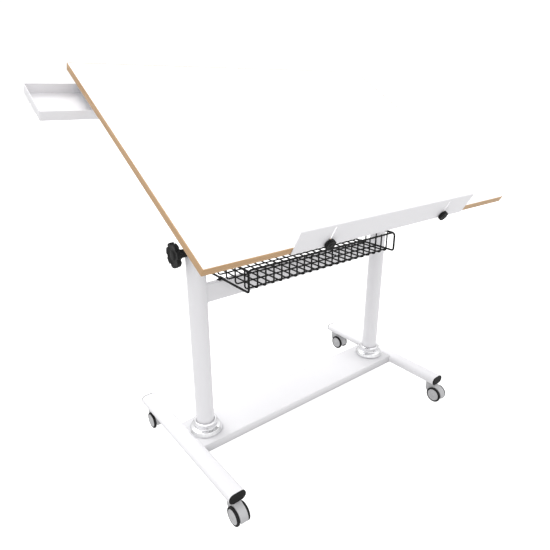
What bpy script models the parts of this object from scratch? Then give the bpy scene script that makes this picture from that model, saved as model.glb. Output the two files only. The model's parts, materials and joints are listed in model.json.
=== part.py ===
"""A drafting table on casters: two telescopic columns, a tilting board, a wire basket and a side tray.

Frame: X runs along the table, Y towards its back, Z up. The origin is on the floor, midway
between the two columns. Metres throughout. The table stands as it is used: the columns part way
up, the board tilted, its ledge raised and the side tray drawn out on the left.
"""
from math import acos, cos, pi, radians, sin

import bmesh
import bpy
from mathutils import Matrix, Vector

# ---------------------------------------------------------------- driving dimensions
GAP = 0.0003                  # clearance between pieces that touch

FOOT_X = 0.4852               # centre of each foot
FOOT_WIDTH = 0.058            # flat oval tube
FOOT_HEIGHT = 0.033
FOOT_TOP = 0.106
FOOT_HALF_LENGTH = 0.305
FOOT_WALL = 0.002
CAP_THICKNESS = 0.003
CAP_PLUG = 0.010

SHELF_DEPTH = 0.156           # pressed channel that joins the feet
SHELF_HEIGHT = 0.030
SHELF_WALL = 0.002

COLUMN_X = 0.412
COLUMN_RADIUS = 0.030
COLUMN_WALL = 0.003
COLUMN_TOP = 0.775
INNER_RADIUS = 0.025
INNER_WALL = 0.0025
INNER_BOTTOM = 0.385
BUSH_LIP = 0.010
BUSH_SLEEVE = 0.020
BUSH_RADIUS = 0.0325

ROSETTE_RADIUS = 0.057
ROSETTE_HEIGHT = 0.041

BEAM_TOP = 0.632              # crossbeam between the outer columns
BEAM_HEIGHT = 0.062
BEAM_DEPTH = 0.020
BEAM_WALL = 0.002
STRETCHER_TOP = 0.932         # crossbeam between the inner columns
STRETCHER_HEIGHT = 0.038

KNOB_Z = 0.743                # height clamp knobs
KNOB_RADIUS = 0.038
KNOB_LOBES = 7
KNOB_HEAD = (0.060, 0.074)    # back and front of the star, from the column's axis
HUB_RADIUS = 0.014

PIVOT_Z = 0.979               # tilt axis
TILT = radians(30.0)
YOKE_ROUND = 0.022
YOKE_HALF_WIDTH = 0.0113
YOKE_SLOT = 0.0053
LUG_HALF_WIDTH = 0.005
LUG_ROUND = 0.018
PIN_RADIUS = 0.005

BOARD_WIDTH = 1.200
BOARD_DEPTH = 0.842
BOARD_THICKNESS = 0.020
BOARD_TOP = 0.070             # above the tilt axis, square to the board
BOARD_FRONT = -0.4035         # front edge from the tilt axis, along the board
BAND = 0.002
ARM_HALF_LENGTH = 0.170
ARM_WIDTH = 0.040
ARM_HEIGHT = 0.0244
ARM_WALL = 0.002

LEDGE_LENGTH = 0.716          # paper ledge on the board's front edge
LEDGE_TOP = 0.0524            # above the board's face
LEDGE_BOTTOM = -0.0208
LEDGE_SHEET = 0.002
LEDGE_LIP = 0.014
SLOT_X = 0.240
SLOT_WIDTH = 0.0058
SLOT_TOP = 0.046
SLOT_BOTTOM = -0.0125
STUD_Z = -0.0088
STUD_RADIUS = 0.0025
LEDGE_KNOB_RADIUS = 0.0155
LEDGE_KNOB_HEAD = (0.0020, 0.0122)

TRAY_LEFT = -0.7304
TRAY_LENGTH = 0.400
TRAY_FRONT = 0.6455           # from the board's front edge
TRAY_WIDTH = 0.138
TRAY_TOP = -0.031             # below the board's face
TRAY_HEIGHT = 0.029
TRAY_SHEET = 0.0015
RAIL_LEFT = -0.560
RAIL_RIGHT = -0.180
RAIL_SHEET = 0.0015
RAIL_FLANGE = 0.018
RAIL_LIP = 0.010
NOTCH_RADIUS = 0.008

LOOP_LEFT = -0.326            # wire basket
LOOP_RIGHT = 0.321
LOOP_HALF_DEPTH = 0.152
LOOP_TOP = 0.703
LOOP_BOTTOM = 0.6354
LOOP_CORNER = 0.012
LOOP_WIRE = 0.003
RIM_Z = 0.701
RIM_WIRE = 0.0026
MESH_LEFT = -0.3205
MESH_RIGHT = 0.312
MESH_HALF_DEPTH = 0.137
MESH_WIRE = 0.002
MESH_Z = 0.6363
CROSS_WIRES = 20
CROSS_PITCH = 0.0306
CROSS_MIDDLE = 0.0069         # the row of cross wires stands a little right of the middle
LONG_WIRES = 6
LONG_PITCH = 0.050

STEM_Y = 0.276                # casters
CASTER_TRAIL = 0.030
WHEEL_RADIUS = 0.030
WHEEL_OUTSIDE = 0.0230
TYRE_WIDTH = 0.0087
HUB_DISC_RADIUS = 0.0235
HOOD_RADIUS = 0.033
HOOD_HALF_WIDTH = 0.0138
AXLE_RADIUS = 0.003
STEM_RADIUS = 0.005
STEM_LENGTH = 0.020

SHELF_HALF_LENGTH = 0.4640
ROUND = 24                    # sides of the small turned pieces
BOARD_BOTTOM = BOARD_TOP - BOARD_THICKNESS
FOOT_BOTTOM = FOOT_TOP - FOOT_HEIGHT


# ---------------------------------------------------------------- helpers
def clear_scene():
    for old in list(bpy.data.objects):
        bpy.data.objects.remove(old, do_unlink=True)


def finish(name, color, rough, metal=0.0):
    """One Principled material."""
    made = bpy.data.materials.new(name)
    made.use_nodes = True
    shader = made.node_tree.nodes["Principled BSDF"]
    shader.inputs["Base Color"].default_value = (*color, 1.0)
    shader.inputs["Roughness"].default_value = rough
    shader.inputs["Metallic"].default_value = metal
    return made


def mesh_from(bm, name, smooth_angle=35.0):
    """Close a bmesh into a mesh with outward faces, shaded smooth below the angle."""
    bmesh.ops.recalc_face_normals(bm, faces=bm.faces)
    mesh = bpy.data.meshes.new(name)
    bm.to_mesh(mesh)
    bm.free()
    mesh.shade_smooth()
    mesh.set_sharp_from_angle(angle=radians(smooth_angle))
    return mesh


def place(name, mesh, material, at=(0.0, 0.0, 0.0), turn=(0.0, 0.0, 0.0), parent=None):
    """A named object with its own copy of a material."""
    made = bpy.data.objects.new(name, mesh)
    bpy.context.scene.collection.objects.link(made)
    made.location = at
    made.rotation_euler = turn
    made.parent = parent
    own = material.copy()
    own.name = name
    if not mesh.materials:
        mesh.materials.append(own)
    made.material_slots[0].link = "OBJECT"
    made.material_slots[0].material = own
    return made


def joint_frame(name, at, turn=(0.0, 0.0, 0.0), parent=None):
    """An empty on a joint's axis."""
    made = bpy.data.objects.new(name, None)
    bpy.context.scene.collection.objects.link(made)
    made.location = at
    made.rotation_euler = turn
    made.parent = parent
    return made


def modify(target, tool, operation):
    """A Boolean of target with a wire-display tool object that takes target's own place."""
    tool.hide_render = True
    tool.display_type = "WIRE"
    step = target.modifiers.new(operation.title(), "BOOLEAN")
    step.operation = operation
    step.solver = "EXACT"
    step.object = tool


def tool_object(name, mesh, at=(0.0, 0.0, 0.0), turn=(0.0, 0.0, 0.0), parent=None):
    made = bpy.data.objects.new(name, mesh)
    bpy.context.scene.collection.objects.link(made)
    made.location = at
    made.rotation_euler = turn
    made.parent = parent
    return made


def arc(centre, radius, start, end, steps):
    """Points on a circle from one angle to another, in degrees."""
    points = []
    for i in range(steps + 1):
        angle = radians(start + (end - start) * i / steps)
        points.append((centre[0] + radius * cos(angle), centre[1] + radius * sin(angle)))
    return points


def circle(radius, count, centre=(0.0, 0.0)):
    return arc(centre, radius, 0.0, 360.0, count)[:-1]


def stadium(half_width, half_height, centre=(0.0, 0.0), steps=8):
    """A flat oval with round ends, wide along its first axis."""
    straight = half_width - half_height
    right = arc((centre[0] + straight, centre[1]), half_height, -90.0, 90.0, steps)
    left = arc((centre[0] - straight, centre[1]), half_height, 90.0, 270.0, steps)
    return right + left


def rectangle(a0, a1, b0, b1):
    return [(a0, b0), (a1, b0), (a1, b1), (a0, b1)]


def to_axes(a, b, c, axes):
    """Outline coordinates a, b and height c as x, y, z: axes names where each one goes."""
    spot = {axes[0]: a, axes[1]: b, axes[2]: c}
    return (spot["x"], spot["y"], spot["z"])


def prism(outlines, low, high, axes="xyz"):
    """An outline, with any holes after it, extruded from low to high along the third axis."""
    bm = bmesh.new()
    edges = []
    for loop in outlines:
        verts = [bm.verts.new(to_axes(a, b, low, axes)) for a, b in loop]
        for i, vert in enumerate(verts):
            edges.append(bm.edges.new((vert, verts[(i + 1) % len(verts)])))
    bmesh.ops.triangle_fill(bm, edges=edges, use_beauty=True)
    made = bmesh.ops.extrude_face_region(bm, geom=bm.faces[:])
    moved = [item for item in made["geom"] if isinstance(item, bmesh.types.BMVert)]
    bmesh.ops.translate(bm, verts=moved, vec=to_axes(0.0, 0.0, high - low, axes))
    return bm


def box(low, high):
    """A plain box between two corners."""
    bm = bmesh.new()
    size = Vector(high) - Vector(low)
    middle = (Vector(high) + Vector(low)) / 2.0
    matrix = Matrix.Translation(middle) @ Matrix.Diagonal((*size, 1.0))
    bmesh.ops.create_cube(bm, size=1.0, matrix=matrix)
    return bm


def loft(sections, axes="yzx"):
    """Sections of equal point count, each (position, outline), joined and capped."""
    bm = bmesh.new()
    rings = []
    for position, outline in sections:
        rings.append([bm.verts.new(to_axes(a, b, position, axes)) for a, b in outline])
    for ring, after in zip(rings, rings[1:]):
        for i, vert in enumerate(ring):
            j = (i + 1) % len(ring)
            bm.faces.new((vert, ring[j], after[j], after[i]))
    bm.faces.new(rings[0])
    bm.faces.new(rings[-1])
    return bm


def turned(profile, count, axes="yzx"):
    """A closed profile of (radius, position) points turned once round the third axis."""
    bm = bmesh.new()
    rings = []
    for radius, position in profile:
        rings.append([bm.verts.new(to_axes(a, b, position, axes)) for a, b in circle(radius, count)])
    for k, ring in enumerate(rings):
        after = rings[(k + 1) % len(rings)]
        for i, vert in enumerate(ring):
            j = (i + 1) % count
            bm.faces.new((vert, ring[j], after[j], after[i]))
    return bm


def ring_tube(outer, inner, low, high, axes="xyz"):
    """A tube: two outlines of equal point count, open at both ends."""
    bm = bmesh.new()
    rings = []
    for outline, position in ((outer, low), (outer, high), (inner, high), (inner, low)):
        rings.append([bm.verts.new(to_axes(a, b, position, axes)) for a, b in outline])
    for k, ring in enumerate(rings):
        after = rings[(k + 1) % 4]
        for i, vert in enumerate(ring):
            j = (i + 1) % len(ring)
            bm.faces.new((vert, ring[j], after[j], after[i]))
    return bm


def star_outline(radius, lobes, depth, steps=4):
    """A rounded star: the radius dips by depth between the lobes."""
    points = []
    count = lobes * steps
    for i in range(count):
        angle = 2.0 * pi * i / count
        wave = cos(lobes * angle)
        reach = radius - depth * (0.5 - 0.5 * wave) ** 0.8
        points.append((reach * cos(angle), reach * sin(angle)))
    return points


def star_knob(radius, lobes, head, hub_radius, hub_end, stud_radius, stud_end):
    """A clamp knob on the X axis: stud from x = stud_end up, hub from hub_end, head at head."""
    count = lobes * 4
    low, high = head
    edge = 0.08 * radius
    sections = [
        (stud_end, circle(stud_radius, count)),
        (hub_end, circle(stud_radius, count)),
        (hub_end, circle(hub_radius, count)),
        (low, circle(hub_radius, count)),
        (low, star_outline(radius - edge, lobes, 0.16 * radius)),
        (low + edge, star_outline(radius, lobes, 0.18 * radius)),
        (high - edge, star_outline(radius, lobes, 0.18 * radius)),
        (high, star_outline(radius - edge, lobes, 0.16 * radius)),
    ]
    return loft(sections)


def lattice(across, along, extent_across, extent_along, thickness, axes):
    """A flat grille of square wires in one plane.

    across and along list wires as (centre, half width): across wires stand at a position on the
    first axis and run along the second over extent_across; along wires do the reverse. thickness
    is the (low, high) pair on the third axis.
    """
    a_marks = sorted({*[c - h for c, h in across], *[c + h for c, h in across], *extent_along})
    b_marks = sorted({*[c - h for c, h in along], *[c + h for c, h in along], *extent_across})
    bm = bmesh.new()
    grid = {}
    for i, a in enumerate(a_marks):
        for j, b in enumerate(b_marks):
            grid[i, j] = bm.verts.new(to_axes(a, b, thickness[0], axes))
    for i in range(len(a_marks) - 1):
        for j in range(len(b_marks) - 1):
            a = (a_marks[i] + a_marks[i + 1]) / 2.0
            b = (b_marks[j] + b_marks[j + 1]) / 2.0
            on_across = any(abs(a - c) < h for c, h in across)
            on_along = any(abs(b - c) < h for c, h in along)
            if on_across and extent_across[0] < b < extent_across[1] or on_along:
                bm.faces.new((grid[i, j], grid[i + 1, j], grid[i + 1, j + 1], grid[i, j + 1]))
    loose = [vert for vert in bm.verts if not vert.link_faces]
    bmesh.ops.delete(bm, geom=loose, context="VERTS")
    made = bmesh.ops.extrude_face_region(bm, geom=bm.faces[:])
    moved = [item for item in made["geom"] if isinstance(item, bmesh.types.BMVert)]
    step = thickness[1] - thickness[0]
    bmesh.ops.translate(bm, verts=moved, vec=to_axes(0.0, 0.0, step, axes))
    return bm


def closed_wire(path, radius, sides=8):
    """A round wire along a closed path in the YZ plane, with its section swept round it."""
    bm = bmesh.new()
    rings = []
    count = len(path)
    for i, (y, z) in enumerate(path):
        before = Vector(path[i - 1])
        after = Vector(path[(i + 1) % count])
        along = (after - before).normalized()
        side = Vector((-along.y, along.x))
        ring = []
        for k in range(sides):
            angle = 2.0 * pi * (k + 0.5) / sides
            reach = radius * cos(angle)
            ring.append(bm.verts.new((radius * sin(angle), y + side.x * reach, z + side.y * reach)))
        rings.append(ring)
    for i, ring in enumerate(rings):
        after = rings[(i + 1) % count]
        for k in range(sides):
            m = (k + 1) % sides
            bm.faces.new((ring[k], ring[m], after[m], after[k]))
    return bm


# ---------------------------------------------------------------- materials
def make_finishes():
    return {
        "white_steel": finish("white_steel", (0.84, 0.84, 0.86), 0.35),
        "white_laminate": finish("white_laminate", (0.90, 0.90, 0.90), 0.40),
        "beech_edge": finish("beech_edge", (0.55, 0.35, 0.18), 0.55),
        "black_plastic": finish("black_plastic", (0.02, 0.02, 0.02), 0.45),
        "black_wire": finish("black_wire", (0.015, 0.015, 0.016), 0.35, 0.6),
        "chrome": finish("chrome", (0.80, 0.80, 0.82), 0.08, 1.0),
        "grey_plastic": finish("grey_plastic", (0.52, 0.52, 0.53), 0.40),
        "rubber": finish("rubber", (0.025, 0.025, 0.027), 0.80),
        "zinc": finish("zinc", (0.62, 0.62, 0.63), 0.30, 1.0),
    }


SIDES = (("left", -1.0), ("right", 1.0))


def outward(side):
    """Turn that makes local +X point away from the table's middle."""
    return (0.0, 0.0, pi if side < 0.0 else 0.0)


# ---------------------------------------------------------------- base
def build_feet(kit):
    """Flat oval tubes front to back, closed by plugs, with a hole under each caster stem."""
    half_width = FOOT_WIDTH / 2.0
    half_height = FOOT_HEIGHT / 2.0
    centre_z = FOOT_TOP - half_height
    tube_end = FOOT_HALF_LENGTH - CAP_THICKNESS - GAP
    outer = stadium(half_width, half_height)
    inner = stadium(half_width - FOOT_WALL, half_height - FOOT_WALL)
    fit = stadium(half_width - FOOT_WALL - GAP, half_height - FOOT_WALL - GAP)
    for label, side in SIDES:
        at = (side * FOOT_X, 0.0, centre_z)
        tube = mesh_from(ring_tube(outer, inner, -tube_end, tube_end, "xzy"), "foot")
        foot = place("foot_" + label, tube, kit["white_steel"], at)
        for name, end in (("front", -1.0), ("rear", 1.0)):
            drill = mesh_from(loft([(-0.010, circle(STEM_RADIUS + GAP, 16)),
                                    (0.010, circle(STEM_RADIUS + GAP, 16))], "xyz"), "drill")
            drill_at = (side * FOOT_X, end * STEM_Y, FOOT_BOTTOM)
            modify(foot, tool_object("drill_" + label + name, drill, drill_at), "DIFFERENCE")
            sections = [(0.0, fit), (CAP_PLUG, fit), (CAP_PLUG, outer), (CAP_PLUG + CAP_THICKNESS, outer)]
            cap = mesh_from(loft(sections, "xzy"), "foot_cap")
            cap_at = (side * FOOT_X, end * (tube_end + GAP - CAP_PLUG), centre_z)
            turn = (0.0, 0.0, 0.0 if end > 0.0 else pi)
            place("foot_cap_" + name + "_" + label, cap, kit["black_plastic"], cap_at, turn)


def build_shelf(kit):
    """Inverted channel between the feet, coped over their round flanks."""
    half = SHELF_DEPTH / 2.0
    low = FOOT_TOP - SHELF_HEIGHT
    under = FOOT_TOP - SHELF_WALL
    section = [
        (-half, low), (-half + SHELF_WALL, low), (-half + SHELF_WALL, under), (half - SHELF_WALL, under),
        (half - SHELF_WALL, low), (half, low), (half, FOOT_TOP), (-half, FOOT_TOP),
    ]
    bm = prism([section], -SHELF_HALF_LENGTH, SHELF_HALF_LENGTH, "yzx")
    shelf = place("base_shelf", mesh_from(bm, "base_shelf"), kit["white_steel"])
    cope = stadium(FOOT_WIDTH / 2.0 + GAP, FOOT_HEIGHT / 2.0 + GAP)
    for label, side in SIDES:
        tool = mesh_from(prism([cope], -0.2, 0.2, "xzy"), "cope")
        at = (side * FOOT_X, 0.0, FOOT_TOP - FOOT_HEIGHT / 2.0)
        modify(shelf, tool_object("foot_cope_" + label, tool, at), "DIFFERENCE")


def build_columns(kit):
    """Outer tubes on the shelf, chrome rosettes round their feet and guide bushes in their tops."""
    outer = circle(COLUMN_RADIUS, 32)
    inner = circle(COLUMN_RADIUS - COLUMN_WALL, 32)
    bore = COLUMN_RADIUS + GAP
    rosette = [
        (bore, 0.0), (ROSETTE_RADIUS - 0.002, 0.0), (ROSETTE_RADIUS, 0.005), (0.052, 0.013),
        (0.040, 0.019), (0.0375, 0.025), (0.0417, 0.030), (0.0417, 0.036), (0.037, ROSETTE_HEIGHT),
        (0.033, ROSETTE_HEIGHT), (bore, 0.037),
    ]
    sleeve_outer = COLUMN_RADIUS - COLUMN_WALL - GAP
    sleeve_inner = INNER_RADIUS + GAP
    bush = [
        (sleeve_inner, -BUSH_SLEEVE), (sleeve_outer, -BUSH_SLEEVE), (sleeve_outer, GAP),
        (BUSH_RADIUS, GAP), (BUSH_RADIUS, BUSH_LIP - 0.002), (BUSH_RADIUS - 0.002, BUSH_LIP),
        (sleeve_inner, BUSH_LIP),
    ]
    for label, side in SIDES:
        at = (side * COLUMN_X, 0.0, FOOT_TOP + GAP)
        length = COLUMN_TOP - FOOT_TOP - GAP
        tube = mesh_from(ring_tube(outer, inner, 0.0, length), "outer_column")
        column = place("outer_column_" + label, tube, kit["white_steel"], at)
        drill = mesh_from(loft([(0.010, circle(0.0043, 16)), (0.050, circle(0.0043, 16))]), "drill")
        drill_at = (side * COLUMN_X, 0.0, KNOB_Z)
        tool = tool_object("clamp_drill_" + label, drill, drill_at, outward(side))
        modify(column, tool, "DIFFERENCE")
        ring = mesh_from(turned(rosette, 28, "xyz"), "rosette")
        place("rosette_" + label, ring, kit["chrome"], at)
        guide = mesh_from(turned(bush, ROUND, "xyz"), "guide_bush")
        place("guide_bush_" + label, guide, kit["black_plastic"], (side * COLUMN_X, 0.0, COLUMN_TOP))


def cross_tube(name, material, top, height, column_radius, parent=None):
    """A flat tube between two columns, its ends coped to their round."""
    outer = rectangle(-BEAM_DEPTH / 2.0, BEAM_DEPTH / 2.0, top - height, top)
    wall = BEAM_WALL
    inner = rectangle(-BEAM_DEPTH / 2.0 + wall, BEAM_DEPTH / 2.0 - wall, top - height + wall, top - wall)
    reach = COLUMN_X - column_radius / 2.0
    mesh = mesh_from(ring_tube(outer, inner, -reach, reach, "yzx"), name)
    beam = place(name, mesh, material, (0.0, 0.0, 0.0), (0.0, 0.0, 0.0), parent)
    for label, side in SIDES:
        round_tool = circle(column_radius + GAP, 48)
        tool = mesh_from(prism([round_tool], top - height - 0.01, top + 0.01), "cope")
        at = (side * COLUMN_X, 0.0, 0.0)
        modify(beam, tool_object(name + "_cope_" + label, tool, at, parent=parent), "DIFFERENCE")


def build_height_knobs(kit):
    """Star knobs on the outer flanks of the columns; their studs press on the inner tubes."""
    hub_end = COLUMN_RADIUS + GAP
    for label, side in SIDES:
        bm = star_knob(KNOB_RADIUS, KNOB_LOBES, KNOB_HEAD, HUB_RADIUS, hub_end, 0.004,
                       INNER_RADIUS + 2.0 * GAP)
        at = (side * COLUMN_X, 0.0, KNOB_Z)
        place("height_knob_" + label, mesh_from(bm, "height_knob"), kit["black_plastic"], at, outward(side))


# ---------------------------------------------------------------- wire basket
def evenly(count, pitch, middle):
    """Places of a row of wires, as (centre, half width)."""
    return [(middle + pitch * (i - (count - 1) / 2.0), MESH_WIRE) for i in range(count)]


def build_basket(kit):
    """A shallow wire basket across the crossbeam: floor, four walls, and a loop at each end."""
    wire = kit["black_wire"]
    cross = evenly(CROSS_WIRES, CROSS_PITCH, CROSS_MIDDLE)
    long = evenly(LONG_WIRES, LONG_PITCH, 0.0)
    floor_top = MESH_Z + MESH_WIRE
    outside = MESH_HALF_DEPTH + MESH_WIRE
    ends = (MESH_LEFT - MESH_WIRE, MESH_RIGHT + MESH_WIRE)
    floor = lattice(cross, long, (-outside, outside), ends, (MESH_Z - MESH_WIRE, floor_top), "xyz")
    place("basket_floor", mesh_from(floor, "basket_floor"), wire)
    base = floor_top + GAP
    rim_ends = (LOOP_LEFT + LOOP_WIRE + GAP, LOOP_RIGHT - LOOP_WIRE - GAP)
    for name, side in (("front", -1.0), ("rear", 1.0)):
        middle = side * MESH_HALF_DEPTH
        skin = (middle - MESH_WIRE, middle + MESH_WIRE)
        wall = lattice(cross, [(RIM_Z, RIM_WIRE)], (base, RIM_Z + RIM_WIRE), rim_ends, skin, "xzy")
        place("basket_wall_" + name, mesh_from(wall, "basket_wall"), wire)
    inside = MESH_HALF_DEPTH - MESH_WIRE - GAP
    for label, middle, loop_x in (("left", MESH_LEFT, LOOP_LEFT), ("right", MESH_RIGHT, LOOP_RIGHT)):
        skin = (middle - MESH_WIRE, middle + MESH_WIRE)
        comb = lattice(long, [(RIM_Z, MESH_WIRE)], (base, RIM_Z + MESH_WIRE), (-inside, inside), skin, "yzx")
        place("basket_end_" + label, mesh_from(comb, "basket_end"), wire)
        corner_y = LOOP_HALF_DEPTH - LOOP_CORNER
        high = LOOP_TOP - LOOP_CORNER
        low = LOOP_BOTTOM + LOOP_CORNER
        path = arc((corner_y, high), LOOP_CORNER, 0.0, 90.0, 4)
        path += arc((-corner_y, high), LOOP_CORNER, 90.0, 180.0, 4)
        path += arc((-corner_y, low), LOOP_CORNER, 180.0, 270.0, 4)
        path += arc((corner_y, low), LOOP_CORNER, 270.0, 360.0, 4)
        loop = closed_wire(path, LOOP_WIRE)
        place("basket_loop_" + label, mesh_from(loop, "basket_loop", 50.0), wire, (loop_x, 0.0, 0.0))
        build_saddle(kit, label, loop_x)


def build_saddle(kit, label, loop_x):
    """A strap over the loop's lower wire, seated on the crossbeam."""
    seat = BEAM_TOP + GAP
    sheet = 0.0015
    half = LOOP_WIRE + 0.0008
    crown = LOOP_BOTTOM + LOOP_WIRE + 0.0008
    wing = 0.012
    section = [
        (-wing, seat), (-half, seat), (-half, crown), (half, crown), (half, seat), (wing, seat),
        (wing, seat + sheet), (half + sheet, seat + sheet), (half + sheet, crown + sheet),
        (-half - sheet, crown + sheet), (-half - sheet, seat + sheet), (-wing, seat + sheet),
    ]
    bm = prism([section], -0.008, 0.008, "xzy")
    place("basket_saddle_" + label, mesh_from(bm, "basket_saddle"), kit["black_wire"], (loop_x, 0.0, 0.0))


# ---------------------------------------------------------------- casters
def hood_outline():
    """Side outline of a caster's hood from the stem, in Y and Z: round over the wheels in front."""
    axle = (-CASTER_TRAIL, WHEEL_RADIUS - FOOT_BOTTOM)
    rear = 0.0135
    top = -GAP
    points = arc(axle, HOOD_RADIUS, 190.0, 100.0, 12)
    points += [(-0.015, top), (rear, top), (rear, -0.034), (0.004, -0.046)]
    points += arc(axle, 0.012, -20.0, -100.0, 4)
    return points, axle


def build_casters(kit):
    """Twin-wheel swivel casters, wheels trailing forward: hood with stem, hubs on an axle, tyres."""
    outline, axle = hood_outline()
    hub_face = WHEEL_OUTSIDE
    inner_face = WHEEL_OUTSIDE - TYRE_WIDTH
    hub = [
        (-hub_face, HUB_DISC_RADIUS - 0.002), (-hub_face + 0.002, HUB_DISC_RADIUS),
        (-inner_face, HUB_DISC_RADIUS), (-inner_face, AXLE_RADIUS),
        (inner_face, AXLE_RADIUS), (inner_face, HUB_DISC_RADIUS),
        (hub_face - 0.002, HUB_DISC_RADIUS), (hub_face, HUB_DISC_RADIUS - 0.002),
    ]
    bore = HUB_DISC_RADIUS + GAP
    tyre = [
        (bore, -hub_face + 0.001), (WHEEL_RADIUS - 0.0025, -hub_face + 0.001),
        (WHEEL_RADIUS, -hub_face + 0.0035), (WHEEL_RADIUS, -inner_face), (bore, -inner_face),
    ]
    for end_name, end in (("front", -1.0), ("rear", 1.0)):
        for label, side in SIDES:
            tag = end_name + "_" + label
            stem_at = (side * FOOT_X, end * STEM_Y, FOOT_BOTTOM)
            swivel = joint_frame("caster_swivel_" + tag, stem_at)
            spin = joint_frame("caster_spin_" + tag, (0.0, axle[0], axle[1]), parent=swivel)
            hole = circle(AXLE_RADIUS + GAP, 16, axle)
            body = mesh_from(prism([outline, hole], -HOOD_HALF_WIDTH, HOOD_HALF_WIDTH, "yzx"), "hood")
            hood = place("caster_hood_" + tag, body, kit["grey_plastic"], parent=swivel)
            stem = mesh_from(loft([(-0.010, circle(STEM_RADIUS, 16)),
                                   (STEM_LENGTH, circle(STEM_RADIUS, 16))], "xyz"), "stem")
            modify(hood, tool_object("caster_stem_" + tag, stem, parent=swivel), "UNION")
            hubs = mesh_from(loft([(x, circle(r, ROUND)) for x, r in hub]), "caster_hubs")
            place("caster_hubs_" + tag, hubs, kit["grey_plastic"], parent=spin)
            for name, turn in (("a", 0.0), ("b", pi)):
                ring = mesh_from(turned(tyre, ROUND), "caster_tyre")
                place("caster_tyre_" + tag + "_" + name, ring, kit["rubber"], turn=(0.0, 0.0, turn), parent=spin)


# ---------------------------------------------------------------- lifting part
def build_lift(kit):
    """Inner columns, the stretcher that ties them, and the tilt yokes on their tops."""
    column_top = PIVOT_Z - 0.031
    outer = circle(INNER_RADIUS, 32)
    inner = circle(INNER_RADIUS - INNER_WALL, 32)
    cross_tube("upper_stretcher", kit["white_steel"], STRETCHER_TOP, STRETCHER_HEIGHT, INNER_RADIUS)
    for label, side in SIDES:
        tube = mesh_from(ring_tube(outer, inner, INNER_BOTTOM, column_top), "inner_column")
        place("inner_column_" + label, tube, kit["white_steel"], (side * COLUMN_X, 0.0, 0.0))
        pivot = (side * COLUMN_X, 0.0, PIVOT_Z)
        base = column_top + GAP - PIVOT_Z
        cap = loft([(base, circle(INNER_RADIUS, 32)), (base + 0.008, circle(INNER_RADIUS, 32))], "xyz")
        yoke = place("tilt_yoke_" + label, mesh_from(cap, "tilt_yoke"), kit["white_steel"], pivot)
        cheeks = arc((0.0, 0.0), YOKE_ROUND, 0.0, 180.0, 12)
        cheeks += [(-YOKE_ROUND, base + 0.004), (YOKE_ROUND, base + 0.004)]
        block = mesh_from(prism([cheeks], -YOKE_HALF_WIDTH, YOKE_HALF_WIDTH, "yzx"), "block")
        modify(yoke, tool_object("yoke_block_" + label, block, pivot), "UNION")
        slot = mesh_from(box((-YOKE_SLOT, -0.04, base + 0.008), (YOKE_SLOT, 0.04, 0.04)), "slot")
        modify(yoke, tool_object("yoke_slot_" + label, slot, pivot), "DIFFERENCE")
        hole = circle(PIN_RADIUS + GAP, 20)
        drill = mesh_from(prism([hole], -0.03, 0.03, "yzx"), "drill")
        modify(yoke, tool_object("yoke_drill_" + label, drill, pivot), "DIFFERENCE")
        seat = YOKE_HALF_WIDTH + GAP
        bm = star_knob(0.028, 6, (0.025, 0.041), 0.011, seat, PIN_RADIUS, -0.022)
        knob = mesh_from(bm, "tilt_knob")
        place("tilt_knob_" + label, knob, kit["black_plastic"], pivot, outward(side))
        hexagon = []
        for i in range(24):
            angle = 2.0 * pi * i / 24.0
            flat = (angle + pi / 6.0) % (pi / 3.0) - pi / 6.0
            reach = 0.0085 / cos(flat)
            hexagon.append((reach * cos(angle), reach * sin(angle)))
        nut = ring_tube(hexagon, circle(PIN_RADIUS + GAP, 24), -0.0196, -seat, "yzx")
        place("pivot_nut_" + label, mesh_from(nut, "pivot_nut"), kit["zinc"], pivot, outward(side))


# ---------------------------------------------------------------- board
def build_board(kit, tilt):
    """Laminated board with a beech edge band, and the two arms that carry it."""
    half = BOARD_WIDTH / 2.0
    back = BOARD_FRONT + BOARD_DEPTH
    step = BAND + GAP
    core_box = box((-half + step, BOARD_FRONT + step, BOARD_BOTTOM), (half - step, back - step, BOARD_TOP))
    core = place("board_core", mesh_from(core_box, "board_core"), kit["white_laminate"], parent=tilt)
    outer = rectangle(-half, half, BOARD_FRONT, back)
    inner = rectangle(-half + BAND, half - BAND, BOARD_FRONT + BAND, back - BAND)
    ring = ring_tube(outer, inner, BOARD_BOTTOM, BOARD_TOP)
    band = place("edge_band", mesh_from(ring, "edge_band"), kit["beech_edge"], parent=tilt)
    for label, side in SIDES:
        stud_at = (side * SLOT_X, BOARD_FRONT, BOARD_TOP + STUD_Z)
        hole = circle(STUD_RADIUS + GAP, 16)
        drill = mesh_from(prism([hole], -0.01, 0.030, "xzy"), "drill")
        tool = tool_object("stud_drill_" + label, drill, stud_at, parent=tilt)
        modify(core, tool, "DIFFERENCE")
        modify(band, tool, "DIFFERENCE")
        build_arm(kit, tilt, label, side)


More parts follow.
